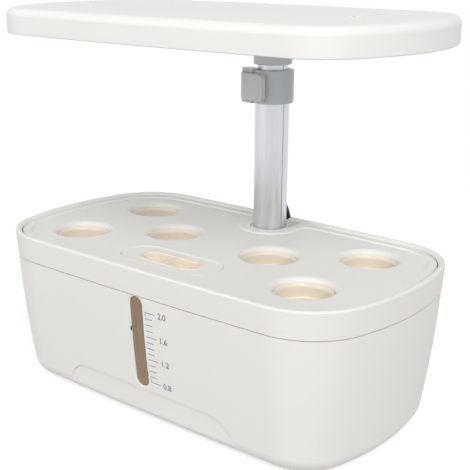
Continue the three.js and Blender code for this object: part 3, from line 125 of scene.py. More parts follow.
white = (1, 1, 1, 1)
room_light = 0.43
brighter_right = 0.35
darker_back = 0.3
sky = Finish(bpy.data.worlds.new("room"))
bpy.context.scene.world = sky.owner
towards = sky.node("TexCoord", output="Generated")
right = sky.node("SeparateXYZ", values={0: towards}, output="X")
back = sky.node("SeparateXYZ", values={0: towards}, output="Y")
light = room_light * (1 + brighter_right * right - darker_back * back)
room = sky.node("Background", values={"Color": white, "Strength": light + (1 - light) * sky.eye()})
sky.node("OutputWorld", values={"Surface": room})

floor_size = 9
shadow_within = 0.35
white_beyond = 0.9
floor_mesh = bmesh.new()
bmesh.ops.create_grid(floor_mesh, x_segments=1, y_segments=1, size=floor_size)
floor = bpy.data.objects.new("floor", bpy.data.meshes.new("floor"))
floor_mesh.to_mesh(floor.data)
floor_mesh.free()
bpy.context.scene.collection.objects.link(floor)
paper = Finish(bpy.data.materials.new("floor_paper"))
pale = paper.node("BsdfDiffuse", values={"Color": (0.5, 0.5, 0.5, 1)})
lit = paper.node("BsdfDiffuse", values={"Color": (0.62, 0.62, 0.62, 1)})
glow = paper.node("Emission", values={"Color": white, "Strength": 0.6})
near = paper.node("AddShader", values={0: lit, 1: glow})
place = paper.node("TexCoord", output="Object")
distance = paper.node("VectorMath", {"operation": "LENGTH"}, {0: place}, "Value")
far = paper.node("MapRange", {"interpolation_type": "SMOOTHSTEP"}, {
    "Value": distance, "From Min": shadow_within, "From Max": white_beyond,
})
bare = paper.node("Emission", values={"Color": white, "Strength": 1})
picture = paper.node("MixShader", values={0: far, 1: near, 2: bare})
surface = paper.node("MixShader", values={0: paper.eye(), 1: pale, 2: picture})
paper.node("OutputMaterial", values={"Surface": surface})
floor.data.materials.append(paper.owner)

soft_lamps = {
    "soft_right": ((1.8, -1.45, 1.8), 46),
    "soft_left": ((-1.4, -2.2, 1.2), 19),
}
soft_lamp_side = 1.8
garden_middle = Vector((0, 0, 0.1))
for name, (place, power) in soft_lamps.items():
    source = bpy.data.objects.new(name, bpy.data.lights.new(name, "AREA"))
    bpy.context.scene.collection.objects.link(source)
    source.data.size = soft_lamp_side
    source.data.energy = power
    source.location = place
    source.rotation_euler = (garden_middle - Vector(place)).to_track_quat("-Z", "Y").to_euler()


# Power lead
# A black vinyl low-voltage lead that leaves the pole's back, goes over the rear rim and down to the floor, and
# is wound in a flat coil behind the tank. It ends in the wall adapter.
def paint(red, green, blue):
    """A colour as a colour picker shows it, as the linear values that a shader takes."""
    return (*Color((red / 255, green / 255, blue / 255)).from_srgb_to_scene_linear(), 1)


def moulded(name, colour, roughness, mottle=3, grain=0.12, grain_size=0.5 * mm, **extras):
    """Moulded plastic or rubber: slightly cloudy colour, and the fine grain of the mould."""
    finish = Finish(bpy.data.materials.new(name))
    place = finish.node("TexCoord", output="Object")
    cloud = finish.node("TexNoise", values={"Vector": place, "Scale": 18, "Detail": 3})
    speck = finish.node("TexNoise", values={"Vector": place, "Scale": 1 / grain_size, "Detail": 2})
    deep = paint(*(max(0, level - mottle) for level in colour))
    pale = paint(*(min(255, level + mottle) for level in colour))
    base = finish.node("Mix", {"data_type": "RGBA"}, {0: cloud, 6: deep, 7: pale}, 2)
    grainy = finish.node("Bump", values={"Height": speck, "Strength": grain, "Distance": 0.05 * mm})
    values = {"Base Color": base, "Roughness": roughness + 0.05 * (cloud - 0.5), "Normal": grainy, **extras}
    finish.node("OutputMaterial", values={"Surface": finish.node("BsdfPrincipled", values=values)})
    return finish.owner


def wear(material, *nodes):
    """Gives nodes that stay as they are their own material."""
    for node in nodes:
        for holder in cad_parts[node].material_slots:
            holder.material = material


def lead(name, points, diameter):
    """A round lead along points, smooth through all of them."""
    line = bpy.data.curves.new(name, "CURVE")
    line.dimensions = "3D"
    line.bevel_depth = diameter / 2
    line.bevel_resolution = 5
    line.resolution_u = 6
    line.use_fill_caps = True
    spline = line.splines.new("BEZIER")
    spline.bezier_points.add(len(points) - 1)
    for knot, place in zip(spline.bezier_points, points):
        knot.co = Vector(place) * mm
        knot.handle_left_type = knot.handle_right_type = "AUTO"
    made = bpy.data.objects.new(name, line)
    bpy.context.scene.collection.objects.link(made)
    return made


lead_thick = 3.8
lead_route = [
    (0, 63.6, 107.8), (0, 66.65, 107.8), (0, 67.9, 106.1), (0, 70.3, 101.8), (0, 72.2, 97.3), (0, 74.2, 94.4),
    (0, 76.3, 91.4), (0, 77.2, 87), (0, 77.3, 79), (0, 77.2, 66), (0, 77.1, 52), (0, 77.1, 38),
    (0, 77.6, 26), (0, 79.8, 15.5), (0, 84.6, 7.4), (0, 91.8, 2.9), (0, 99.6, 1.9), (0, 108, 1.9),
]
lead_height = lead_route[0][2]
lead_over_rim = lead_route[4]
coil_turns = 6.25
coil_per_turn = 20
coil_radius = 24
coil_pitch = 4.35
coil_layer = 4.3
coil_spread = coil_pitch * coil_turns / 4
coil_middle = (-coil_radius - coil_spread, 114)
coil_route = []
for step in range(round(coil_turns * coil_per_turn) + 1):
    turn = step / coil_per_turn
    radius = coil_radius - coil_spread + coil_pitch * abs(turn - coil_turns / 2)
    climb = min(max(2 * (turn - coil_turns / 2) + 0.5, 0), 1)
    climb = climb ** 3 * (climb * (6 * climb - 15) + 10)
    coil_route.append((
        coil_middle[0] + radius * cos(tau * turn),
        coil_middle[1] + radius * sin(tau * turn),
        lead_thick / 2 + climb * coil_layer,
    ))
tail_route = [(-34.9, 144.8, 6.2), (-42, 144.8, 7.3), (-50, 144.8, 9.35), (-58, 144.8, 11.4), (-65.6, 144.8, 12.5)]
lead_vinyl = moulded("lead_vinyl", (26, 26, 28), 0.5, mottle=4, grain=0.3)
power_lead = lead("power_lead", lead_route + coil_route + tail_route, lead_thick * mm)
power_lead.data.materials.append(lead_vinyl)


# Wall adapter
# Black moulded plug-in supply at the lead's end: a soft ribbed sleeve, a body in two halves with a seam between
# them, and two brass prongs. The sleeve is a profile turned about an axis, and the body is one that is carried
# round a rectangle.
def soften(shape, parts, reach, steps, affect="EDGES"):
    """Rounds edges or corners of a shape. The rounding's reach is in millimetres."""
    bmesh.ops.bevel(
        shape, geom=parts, offset=reach * mm, affect=affect, segments=steps, profile=0.5, material=-1,
    )


def section(corners, closed=False, steps=5):
    """A profile of (across, height) corners. A third number says how far a corner's rounding reaches."""
    shape = bmesh.new()
    points = [shape.verts.new((corner[0] * mm, 0, corner[1] * mm)) for corner in corners]
    for first, second in zip(points, points[1:]):
        shape.edges.new((first, second))
    if closed:
        shape.edges.new((points[-1], points[0]))
    for reach in sorted({corner[2] for corner in corners if len(corner) > 2}):
        chosen = [point for point, corner in zip(points, corners) if corner[2:] == (reach,)]
        soften(shape, chosen, reach, steps, affect="VERTICES")
    return shape


def close(shape, fill=True):
    """Merges what meets, closes flat ends and turns the faces outwards."""
    bmesh.ops.remove_doubles(shape, verts=shape.verts, dist=1e-6)
    if fill:
        bmesh.ops.holes_fill(shape, edges=[edge for edge in shape.edges if edge.is_boundary], sides=0)
    bmesh.ops.recalc_face_normals(shape, faces=shape.faces)
    return shape


def turned(profile, at=(0, 0, 0), steps=64, fill=True):
    """A profile turned about an upright axis, and then put in its place, in millimetres."""
    everything = profile.verts[:] + profile.edges[:]
    bmesh.ops.spin(profile, geom=everything, cent=(0, 0, 0), axis=(0, 0, 1), angle=tau, steps=steps, use_merge=True)
    bmesh.ops.translate(profile, verts=profile.verts, vec=Vector(at) * mm)
    return close(profile, fill)


def put(shape, angle, axis, to=(0, 0, 0)):
    """Turns a shape about an axis through the origin, and then moves it, in millimetres."""
    bmesh.ops.rotate(shape, verts=shape.verts, cent=(0, 0, 0), matrix=Matrix.Rotation(angle, 3, axis))
    bmesh.ops.translate(shape, verts=shape.verts, vec=Vector(to) * mm)
    return shape


class Track:
    """A closed line with four like quarters. Each run of a quarter is a centre, an angle, a shift and steps."""

    def __init__(self, half_length, runs):
        self.half_length = half_length
        self.runs = runs

    @classmethod
    def oval(cls, length, width, side_radius, end_radius, corner_radius):
        side = Vector((0, width / 2 - side_radius))
        end = Vector((length / 2 - end_radius, 0))
        meets = intersect_sphere_sphere_2d(side, side_radius - corner_radius, end, end_radius - corner_radius)
        corner = max(meets, key=lambda place: place.x)
        first = atan2(corner.y - end.y, corner.x - end.x)
        second = atan2(corner.y - side.y, corner.x - side.x)
        none = (0, 0)
        return cls(length / 2, [
            (end, first, none, 8),
            (corner, second - first, none, 16),
            (side, pi / 2 - second, none, 3),
        ])

    @classmethod
    def rectangle(cls, half_length, half_width, corner, steps=12, along=1):
        centre = (half_length - corner, half_width - corner)
        runs = [(centre, pi / 2, (0, 0), steps), ((0, 0), 0, (-centre[0], 0), along)]
        if half_width > corner:
            runs.insert(0, ((0, 0), 0, (0, centre[1]), 1))
        return cls(half_length, runs)

    def sweep(self, profile, at=(0, 0, 0), fill=True):
        """Carries a profile of (inset, height) round the track."""
        start = Matrix.Translation((self.half_length * mm, 0, 0)) @ Matrix.Scale(-1, 4, (1, 0, 0))
        bmesh.ops.transform(profile, matrix=start, verts=profile.verts)
        moving = profile.verts[:] + profile.edges[:]
        for centre, angle, shift, steps in self.runs:
            moving = bmesh.ops.spin(
                profile, geom=moving, cent=(centre[0] * mm, centre[1] * mm, 0), axis=(0, 0, 1), angle=angle,
                dvec=(shift[0] * mm / steps, shift[1] * mm / steps, 0), steps=steps,
            )["geom_last"]
        for axis in ("X", "Y"):
            whole = profile.verts[:] + profile.edges[:] + profile.faces[:]
            bmesh.ops.mirror(profile, geom=whole, matrix=Matrix(), merge_dist=1e-6, axis=axis)
        bmesh.ops.translate(profile, verts=profile.verts, vec=Vector(at) * mm)
        return close(profile, fill)


def gather(whole, *parts):
    """Puts shapes into one."""
    for part in parts:
        spare = bpy.data.meshes.new("spare")
        part.to_mesh(spare)
        part.free()
        whole.from_mesh(spare)
        bpy.data.meshes.remove(spare)
    return whole


def piece(name, *parts):
    """An object made of one or more shapes."""
    whole = gather(bmesh.new(), *parts)
    made = bpy.data.objects.new(name, bpy.data.meshes.new(name))
    whole.to_mesh(made.data)
    whole.free()
    bpy.context.scene.collection.objects.link(made)
    return made


def dress(made, material, body, slot, *nodes, sharp=32):
    """Smooths a piece, gives it its material, hangs it on the body it moves with, and hides the nodes it stands for.
    """
    made.data.materials.clear()
    made.data.materials.append(material)
    made.data.shade_smooth()
    made.data.set_sharp_from_angle(angle=radians(sharp))
    made.modifiers.new("even_shading", "WEIGHTED_NORMAL").keep_sharp = True
    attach(made, body)
    if nodes:
        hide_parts(*nodes)
    return made


adapter_plastic = moulded("adapter_plastic", (34, 34, 37), 0.48, mottle=3, grain=0.35)
adapter_back = 144.8
rib_pitch = 2.6
rib_grows = 0.2
sleeve_rings = [(0, 0), (1.9, 0), (2.4, 0, 0.3)]
for rib in range(4):
    grown, along = rib_grows * rib, rib_pitch * rib
    sleeve_rings += [(2.55 + grown, 1.4 + along), (2.1 + grown, 1.9 + along),
                     (2.15 + grown, 2.7 + along), (2.75 + grown, 3.2 + along)]
sleeve_rings += [(3.4, 12.4, 0.3), (3.4, 14), (0, 14)]
sleeve = put(turned(section(sleeve_rings), steps=32), -pi / 2, "Y", (-65.2, adapter_back, 12.5))
adapter_sleeve = dress(piece("adapter_sleeve", sleeve), adapter_plastic, "tank", "dark_plastic", "adapter_boot")
adapter_case = piece("adapter_case", Track.rectangle(21, 15, 5).sweep(
    section([(4, 0), (0, 0, 1.6), (0, 12.2), (0.35, 12.3), (0.35, 12.7), (0, 12.8), (0, 25, 1.6), (4, 25)]),
    at=(-100.5, adapter_back, 0)))
dress(adapter_case, adapter_plastic, "tank", "dark_plastic", "adapter_body")
brass = moulded("prong_brass", (196, 168, 104), 0.3, mottle=8, grain=0.1, Metallic=1)
wear(brass, "prong_1", "prong_2")
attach(power_lead, "tank")
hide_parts("power_cord", "cord_coil", "cord_tail")

# Boot at the pole
# A short black rubber bush, moulded onto the lead, that holds it in the hole in the pole's back. The tube's wall
# sits in the groove round it.
pole_back = 51.9
boot = turned(section([
    (0, 9), (3.2, 9), (3.2, 9.3), (2.4, 9.4), (2.4, 10.9), (3.1, 10.95, 0.3), (2.7, 12.3, 0.4), (2, 12.55),
    (0, 12.55),
]), steps=32)
put(boot, -pi / 2, "X", (0, pole_back, lead_height))
rubber = moulded("black_rubber", (40, 40, 42), 0.8, mottle=4, grain=0.4)
dress(piece("lead_boot", boot), rubber, "tank", "dark_plastic", "cord_boot")

# Water tank
# A tapered tub blow-formed in warm white plastic, with a round foot, a shallow grip panel low on its front and
# an upright slot for the water window.
tank_half_wide = 74.1
tank_round = Track.oval(270, 2 * tank_half_wide, 3800, 163.5, 41.2)
underside = 0.8
wall_foot = 12.7
wall_thick = 3
shoulder = 81.7
neck_top = 88.2
base_in = 20.3
base_round = 11.9


def wall_in(height):
    """How far the bowed wall has drawn in at a height."""
    drop = shoulder - height
    return 1.2 + 0.052 * drop + 0.00075 * drop ** 2


wall_steps = [wall_foot + (shoulder - wall_foot) * step / 10 for step in range(11)]


def baked(made):
    """A piece's mesh as its modifiers leave it."""
    return bpy.data.meshes.new_from_object(made.evaluated_get(bpy.context.evaluated_depsgraph_get()))


def carve(made, *cutters, operation="DIFFERENCE"):
    """Cuts shapes out of a piece, or joins them to it."""
    spares = [piece("cutter", cutter) for cutter in cutters]
    for spare in spares:
        change = made.modifiers.new("cut", "BOOLEAN")
        change.object = spare
        change.operation = operation
        change.solver = "EXACT"
    plain = baked(made)
    made.modifiers.clear()
    made.data = plain
    for spare in spares:
        bpy.data.objects.remove(spare)
    return made


def taken(made):
    """The shape of a piece that isn't kept."""
    shape = bmesh.new()
    shape.from_mesh(made.data)
    bpy.data.objects.remove(made)
    return shape


def rod(radius, low, high, x=0, y=0, steps=48):
    """An upright cylinder."""
    return turned(section([(0, low), (radius, low), (radius, high), (0, high)]), at=(x, y, 0), steps=steps)


def on_front(shape):
    """Lays a shape given as (across, depth, height) against the tub's front wall."""
    for point in shape.verts:
        point.co.y += (wall_in(point.co.z / mm) - tank_half_wide) * mm
    return shape


def upright(shape):
    """Stands a flat shape up, so that its height becomes its depth and its length its height."""
    turn = Matrix(((0, 1, 0, 0), (0, 0, 1, 0), (1, 0, 0, 0), (0, 0, 0, 1)))
    bmesh.ops.transform(shape, matrix=turn, verts=shape.verts)
    return shape


window_low = 24.8
window_high = 81
window_half = 4.5


def window_plate(half_length, half_width, profile):
    """An upright plate with round ends, bent to the front wall."""
    plate = upright(Track.rectangle(half_length, half_width, half_width, steps=16, along=8).sweep(section(profile)))
    bmesh.ops.translate(plate, verts=plate.verts, vec=(0, 0, (window_low + window_high) / 2 * mm))
    bmesh.ops.recalc_face_normals(plate, faces=plate.faces)
    return on_front(plate)


def window_slot(margin, near, far):
    """The room of the window's slot, wider all round by a margin, between two depths."""
    half = (window_high - window_low) / 2 + margin
    return window_plate(half, window_half + margin, [(3, near), (0, near), (0, far), (3, far)])


tub = piece("tub", tank_round.sweep(section([
    (base_in, underside), (wall_in(wall_foot), underside, base_round),
    *((wall_in(height), height) for height in wall_steps),
    (4.3, shoulder), (4.3, neck_top, 0.3), (6.7, neck_top, 0.3), (6.7, 79.2),
    *((wall_in(height) + wall_thick, height) for height in (74.2, 61, 48, 35, 24, wall_foot)),
    (wall_in(wall_foot) + wall_thick, underside + wall_thick, 8.9), (base_in, underside + wall_thick),
], steps=12)))
grip_half = 66.5
grip_top = 22.4
grip_corner = 18
grip_deep = 0.8
grip_low = -6
grip = upright(Track.rectangle(grip_top, grip_half, grip_corner, steps=20).sweep(
    section([(3, -80), (0, -80), (0, 0), (3, 0)])))
bmesh.ops.recalc_face_normals(grip, faces=grip.faces)
grip_back = tank_round.sweep(section([
    (base_in + grip_deep, grip_low), (wall_in(wall_foot) + grip_deep, grip_low, base_round + underside - grip_low),
    *((wall_in(height) + grip_deep, height) for height in wall_steps),
], steps=12))
carve(tub, taken(carve(piece("grip_cutter", grip), grip_back)))
carve(tub, window_slot(1.2, -3, 0.5), window_slot(0.3, -3, 2.2), window_slot(-1.6, -3, 12))
foot_places = [(-92, -40), (-92, 40), (92, -40), (92, 40)]
for x, y in foot_places:
    carve(tub, rod(7.3, -1, 2, x, y))
shell_white = moulded("warm_white_plastic", (239, 237, 232), 0.4, mottle=1.2, grain=0.1)
dress(tub, shell_white, "tank", "shell", "tank_tub")

# Feet
# Four grey rubber discs, glued into shallow pockets under the tub. They stand out of them by not quite a
# millimetre.
foot_rubber = moulded("grey_rubber", (66, 66, 68), 0.85, mottle=5, grain=0.4)
for index, (x, y) in enumerate(foot_places, 1):
    disc = turned(section([(0, 0), (7, 0, 0.4), (7, 1.7, 0.3), (0, 1.7)]), at=(x, y, 0), steps=48)
    dress(piece(f"rubber_foot_{index}", disc), foot_rubber, "tank", "rubber", f"foot_{index}")

# Water window
# A brown-tinted clear pane pressed into a rebate of the front wall on a thin rubber gasket. Its middle fills the
# slot behind.
pane = Finish(bpy.data.materials.new("tinted_pane"))
place = pane.node("TexCoord", output="Object")
across = pane.node("SeparateXYZ", values={0: place}, output="X")
streak = pane.node("TexNoise", values={"Vector": place, "Scale": 60, "Detail": 2})
edge = pane.node("Math", {"operation": "ABSOLUTE"}, {0: across}) * (1 / (window_half * mm))
share = pane.node("MapRange", {"interpolation_type": "SMOOTHSTEP"}, {
    "Value": edge + (streak - 0.5) * 0.1, "From Min": 0.62, "From Max": 0.86,
})
body_colour = pane.node("Mix", {"data_type": "RGBA"}, {0: streak, 6: paint(128, 98, 58), 7: paint(142, 112, 70)}, 2)
tint = pane.node("Mix", {"data_type": "RGBA"}, {0: share, 6: body_colour, 7: paint(124, 108, 86)}, 2)
clear = pane.node("BsdfPrincipled", values={"Base Color": tint, "Roughness": 0.12 + 0.1 * streak, "Coat Weight": 0.5})
pane.node("OutputMaterial", values={"Surface": clear})
pane_edge = window_plate(28.1, window_half, [(3, 0.5), (0, 0.5, 0.15), (0, 1.4), (3, 1.4)])
pane_back = window_plate(26.2, 2.6, [(1.4, 1.2), (0, 1.2), (0, 3), (1.4, 3)])
dress(piece("window_pane", pane_edge, pane_back), pane.owner, "tank", "tinted_window", "water_window")
wear(rubber, "window_gasket")

# Litre scale
# Blue-grey ink printed on the front wall beside the window: an upright line with long and short marks, and the
# litres in plain numbers.
ink = moulded("scale_ink", (112, 118, 134), 0.6, mottle=6, grain=0.1)
scale_left = 7.2
scale_marks = (73.4, 58.4, 44.0, 29.3)
long_mark = 7.5
short_mark = 5.1
marks_per_number = 4
mark_thick = 0.36
ink_thick = 0.06
numbers_left = 9.6
number_size = 5.2


def box(x0, x1, y0, y1, z0, z1):
    """A block between two corners, in millimetres."""
    shape = bmesh.new()
    bmesh.ops.create_cube(shape, size=1)
    bmesh.ops.scale(shape, verts=shape.verts, vec=((x1 - x0) * mm, (y1 - y0) * mm, (z1 - z0) * mm))
    bmesh.ops.translate(shape, verts=shape.verts, vec=((x0 + x1) / 2 * mm, (y0 + y1) / 2 * mm, (z0 + z1) / 2 * mm))
    return shape


def mark(length, height):
    """A printed mark on the front wall, level with a height."""
    return on_front(box(
        scale_left, scale_left + length, -ink_thick, ink_thick, height - mark_thick / 2, height + mark_thick / 2,
    ))


marks = [on_front(box(
    scale_left, scale_left + mark_thick, -ink_thick, ink_thick,
    scale_marks[-1] - mark_thick / 2, scale_marks[0] + mark_thick / 2,
))]
marks += [mark(long_mark, height) for height in scale_marks]
for upper, lower in zip(scale_marks, scale_marks[1:]):
    for minor in range(1, marks_per_number):
        marks.append(mark(short_mark, upper + (lower - upper) * minor / marks_per_number))
dress(piece("scale_marks", *marks), ink, "tank", "shell")
for height, label in zip(scale_marks, ("2.0", "1.6", "1.2", "0.8")):
    letters = bpy.data.curves.new("letters", "FONT")
    letters.body = label
    letters.size = number_size * mm
    letters.extrude = ink_thick * mm
    letters.resolution_u = 3
    letters.align_y = "CENTER"
    writer = bpy.data.objects.new("writer", letters)
    bpy.context.scene.collection.objects.link(writer)
    number = bmesh.new()
    number.from_mesh(baked(writer))
    bpy.data.objects.remove(writer)
    on_front(put(number, pi / 2, "X", (scale_left + numbers_left, 0, height)))
    dress(piece("scale_" + label, number), ink, "tank", "shell")

# Rim frame
# A separate white frame pressed over the tub's neck: a band with a round upper edge, a ledge inside it that
# carries the deck, and a shelf at the back that holds the pole's socket.
rim = piece("rim", tank_round.sweep(section([
    (1, 82.1, 0.3), (0, 96.7), (0, 98.1, 1.4), (4, 98.1, 2.2), (4, 90.5), (9, 90.5, 0.3), (9, 88.5, 0.3),
    (4, 88.5), (4, 82.1, 0.3),
], closed=True, steps=8)))
pole_at = (0, pole_back, 0)
shelf_half = 22
shelf_low = 88.5
shelf_top = 90.5
shelf_round = Track.rectangle(shelf_half, shelf_half, shelf_half, steps=24).sweep(
    section([(4, shelf_low), (0, shelf_low), (0, shelf_top), (4, shelf_top)]), at=pole_at)
shelf_back = box(-shelf_half, shelf_half, pole_back, pole_back + 18.5, shelf_low, shelf_top)
shelf = carve(piece("shelf", shelf_round), shelf_back, operation="UNION")
carve(shelf, tank_round.sweep(section([(2, 80), (2, 100)])), operation="INTERSECT")
carve(rim, taken(shelf), operation="UNION")
lead_slope = radians(28)
notch = put(rod(2.2, -8, 8, steps=32), lead_slope, "X", lead_over_rim)
notch_top = put(box(-2.2, 2.2, 0, 8, -8, 8), lead_slope, "X", lead_over_rim)
carve(rim, rod(12.3, 80, 99, 0, pole_back, steps=64), notch, notch_top,
      *(rod(1.4, 80, 99, x, pole_back, steps=24) for x in (-16.2, 16.2)))
dress(rim, shell_white, "tank", "shell", "rim_frame")

# Pole socket
# White moulded cup under the shelf, held up against it by two screws through its flange. The pole stands on its
# floor.
socket_bore = 10.95
socket_floor = 43
socket = piece("socket", turned(section([
    (2.2, 40), (12.5, 40, 0.8), (12.5, 88.2), (12, 88.2), (12, 96.4, 0.5), (socket_bore, 96.4, 0.3),
    (socket_bore, socket_floor), (2.2, socket_floor),
], closed=True), at=pole_at, fill=False))
flange = Track.rectangle(20.6, 14, 14, steps=16).sweep(
    section([(4, 86.2), (0, 86.2, 0.3), (0, 88.2, 0.3), (4, 88.2)]), at=pole_at)
carve(socket, flange, operation="UNION")
carve(socket, rod(socket_bore, socket_floor + 0.05, 99, 0, pole_back, steps=64))
dress(socket, shell_white, "tank", "shell", "pole_socket")

# Pole
# Two drawn aluminium tubes, satin anodised, with a shallow groove down each side. The inner one carries the lamp
# and slides in the outer one.
metal = Finish(bpy.data.materials.new("anodised_aluminium"))
place = metal.node("TexCoord", output="Object")
drawn = metal.node("Mapping", values={"Vector": place, "Scale": (1, 1, 0.01)})
line = metal.node("TexNoise", values={"Vector": drawn, "Scale": 1800, "Detail": 2})
shade = metal.node("Mix", {"data_type": "RGBA"}, {0: line, 6: paint(205, 207, 210), 7: paint(219, 221, 224)}, 2)
fine = metal.node("Bump", values={"Height": line, "Strength": 0.1, "Distance": 0.03 * mm})
satin = metal.node("BsdfPrincipled", values={
    "Base Color": shade, "Metallic": 1.0, "Roughness": 0.36 + 0.08 * (line - 0.5), "Normal": fine,
})
metal.node("OutputMaterial", values={"Surface": satin})
groove_angle = radians(11)
groove_deep = 0.45
groove_half = 0.45


def tube(name, radius, wall, bottom, top):
    """A tube on the pole's axis with a groove down each side."""
    made = piece(name, turned(section([
        (radius - wall, bottom), (radius, bottom, 0.2), (radius, top, 0.2), (radius - wall, top),
    ], closed=True), at=pole_at, steps=96, fill=False))
    inner = radius - groove_deep
    grooves = [
        put(box(inner, inner + 2, -groove_half, groove_half, bottom - 2, top + 2), angle, "Z", pole_at)
        for angle in (-groove_angle, pi + groove_angle)
    ]
    return carve(made, *grooves)


outer_tube = tube("outer_tube", 10.65, 0.9, 43.3, 195.5)
carve(outer_tube, put(rod(2.5, 0, 12, steps=32), -pi / 2, "X", (0, pole_back, lead_height)))
dress(outer_tube, metal.owner, "tank", "pole", "pole_tube")
sliding_tube = tube("sliding_tube", 9.45, 1, 118, 217)
dress(sliding_tube, metal.owner, "lamp", "pole", "inner_tube")

# Clamp
# Grey moulded split collar round the top of the outer tube. Two ears at its front left hold a steel pin, on which
# the flip lever turns.
grey = moulded("grey_plastic", (210, 215, 219), 0.3, mottle=2, grain=0.15)
clamp_turn = Matrix.Translation((0, pole_back * mm, 0)) @ Matrix.Rotation(radians(-13.4), 4, "Z")
clamp_foot = 176.9
clamp_top = 197.4
knuckle_foot = 178.7
knuckle_top = 195.8
outer_bore = 10.95
inner_bore = 9.75
ear_at = (-10.7, -11)
clamp = piece("clamp", turned(section([
    (outer_bore, clamp_foot, 0.2), (13.3, clamp_foot, 0.5), (13.3, clamp_top, 0.8), (inner_bore, clamp_top, 0.3),
    (inner_bore, knuckle_top), (outer_bore, knuckle_top),
], closed=True), steps=96, fill=False))
ears = []
for low, high in ((clamp_foot, knuckle_foot), (knuckle_top, 198)):
    ears += [rod(3.8, low, high, *ear_at), box(ear_at[0], -2.2, -14.8, -7.2, low, high)]
carve(clamp, *ears, operation="UNION")
slit = put(box(0, 15, -0.6, 0.6, 176, 195.1), radians(155), "Z")
carve(clamp, rod(outer_bore, 176, knuckle_top, steps=96), rod(inner_bore, 177, 200, steps=96),
      rod(1.3, 177.1, 197.9, *ear_at), rod(4, knuckle_foot, knuckle_top, *ear_at), slit)
clamp.data.transform(clamp_turn)
dress(clamp, grey, "tank", "grey_plastic", "clamp_collar")
steel = moulded("screw_steel", (168, 170, 174), 0.32, mottle=6, grain=0.2, Metallic=1)
pin = piece("pin", rod(1.25, 177.2, 197.8, *ear_at, steps=32))
pin.data.transform(clamp_turn)
dress(pin, steel, "tank", "steel", "clamp_pin")

# Clamp lever
# A flat plate of slightly lighter grey plastic in front of the clamp, with a round free end. The knuckle at its
# left end turns on the pin.
def plate(outline, low, rise):
    """A flat outline at a height, raised into a plate."""
    shape = bmesh.new()
    face = shape.faces.new([shape.verts.new((x * mm, y * mm, low * mm)) for x, y in outline])
    raised = bmesh.ops.extrude_face_region(shape, geom=[face])["geom"]
    points = [part for part in raised if isinstance(part, bmesh.types.BMVert)]
    bmesh.ops.translate(shape, verts=points, vec=(0, 0, rise * mm))
    bmesh.ops.recalc_face_normals(shape, faces=shape.faces)
    return shape


def edges_where(shape, test):
    """Edges whose middle, in millimetres, and direction pass a test."""
    chosen = []
    for edge in shape.edges:
        start, end = (point.co for point in edge.verts)
        if test(*((start + end) / 2 / mm), (end - start).normalized()):
            chosen.append(edge)
    return chosen


lever_front = -16.6
lever_behind = -13.6
knuckle = 2.2
lever_outline = [(9.3, lever_behind), (-8.5, lever_behind), (-8.5, ear_at[1])]
for step in range(1, 12):
    angle = step * pi / 12
    lever_outline.append((ear_at[0] + knuckle * cos(angle), ear_at[1] + knuckle * sin(angle)))
lever_outline += [(-12.9, ear_at[1]), (-12.9, lever_behind), (-11, lever_front), (9.3, lever_front)]
lever_shape = plate(lever_outline, 178.9, 16.7)
free_end = edges_where(lever_shape, lambda x, y, z, way: x > 9 and abs(way.y) > 0.9)
soften(lever_shape, free_end, 3.6, 8)
front_edges = edges_where(lever_shape, lambda x, y, z, way: abs(y - lever_front) < 0.01 and abs(way.y) < 0.1)
soften(lever_shape, front_edges, 0.9, 5)
lever = piece("lever", lever_shape)
carve(lever, rod(1.3, 177, 198, *ear_at, steps=32))
lever.data.transform(clamp_turn)
# The lever's own greenish light grey. The lamp collar wears it too, as painted light against the lamp's shadow.
lever_and_lit_collar_grey = moulded("lever_and_lit_collar_grey", (218, 222, 221), 0.38, mottle=2, grain=0.12)
dress(lever, lever_and_lit_collar_grey, "lever", "grey_plastic", "clamp_lever")

# Lamp collar
# Cap of grey plastic on top of the inner tube, with a chamfered foot. Two screws from inside the lamp hold it.
# It wears the lever's lighter grey as painted light, to lighten it in the lamp's shadow.
collar = turned(section([
    (9.75, 200.6), (11.6, 200.6, 0.3), (12, 201.2, 0.3), (12, 220.6), (2.2, 220.6), (2.2, 217.3), (9.75, 217.3),
], closed=True), at=pole_at, steps=96, fill=False)
# The collar's lighter grey is painted light: it sits in the lamp's shadow.
dress(piece("collar", collar), lever_and_lit_collar_grey, "lamp", "grey_plastic", "lamp_collar")
dark = moulded("dark_plastic", (42, 43, 46), 0.5, mottle=4, grain=0.2)
wear(dark, "inner_tube_plug")
wear(steel, "collar_screw_1", "collar_screw_2", "socket_screw_1", "socket_screw_2")

# Lamp cover
# One large white moulding, a flat oval tray turned upside down with a soft round upper edge and a hole for the
# touch button near its right end.
lamp_round = Track.oval(271.6, 145, 2020, 120, 29.3)
lamp_at = (0, 1.6, 220.4)
button_at = (89.4, lamp_at[1], lamp_at[2])
lamp_white = moulded("lamp_white_plastic", (243, 242, 239), 0.42, mottle=1, grain=0.08)
cover = piece("cover", lamp_round.sweep(section([
    (8, 13.1), (2, 13.1, 3), (2, 0), (0.4, 0), (0, 0.4), (0, 15.1, 4.9), (9, 15.1),
], steps=9), at=lamp_at))
carve(cover, rod(4.8, lamp_at[2] + 10, lamp_at[2] + 17, *button_at[:2]))
dress(cover, lamp_white, "lamp", "shell", "lamp_cover")

# Lamp tray and diffuser
# White plate that closes the lamp from below, screwed up into the cover, with a frame round the opening for the
# milky diffuser.
light_at = (0, lamp_at[1] - 13.5, lamp_at[2])
light_half_long = 110
light_half_wide = 42
light_corner = 12
tray = piece("tray", lamp_round.sweep(section([(9, 0.5), (2.3, 0.5, 0.3), (2.3, 2.5), (9, 2.5)]), at=lamp_at))


def diffuser_slab(margin, low, high, soft=0):
    """A rounded rectangle as wide as the lit opening and a margin all round."""
    edge = (0, low, soft) if soft else (0, low)
    track = Track.rectangle(light_half_long + margin, light_half_wide + margin, light_corner + margin, steps=16)
    return track.sweep(section([(5, low), edge, (0, high), (5, high)]), at=light_at)


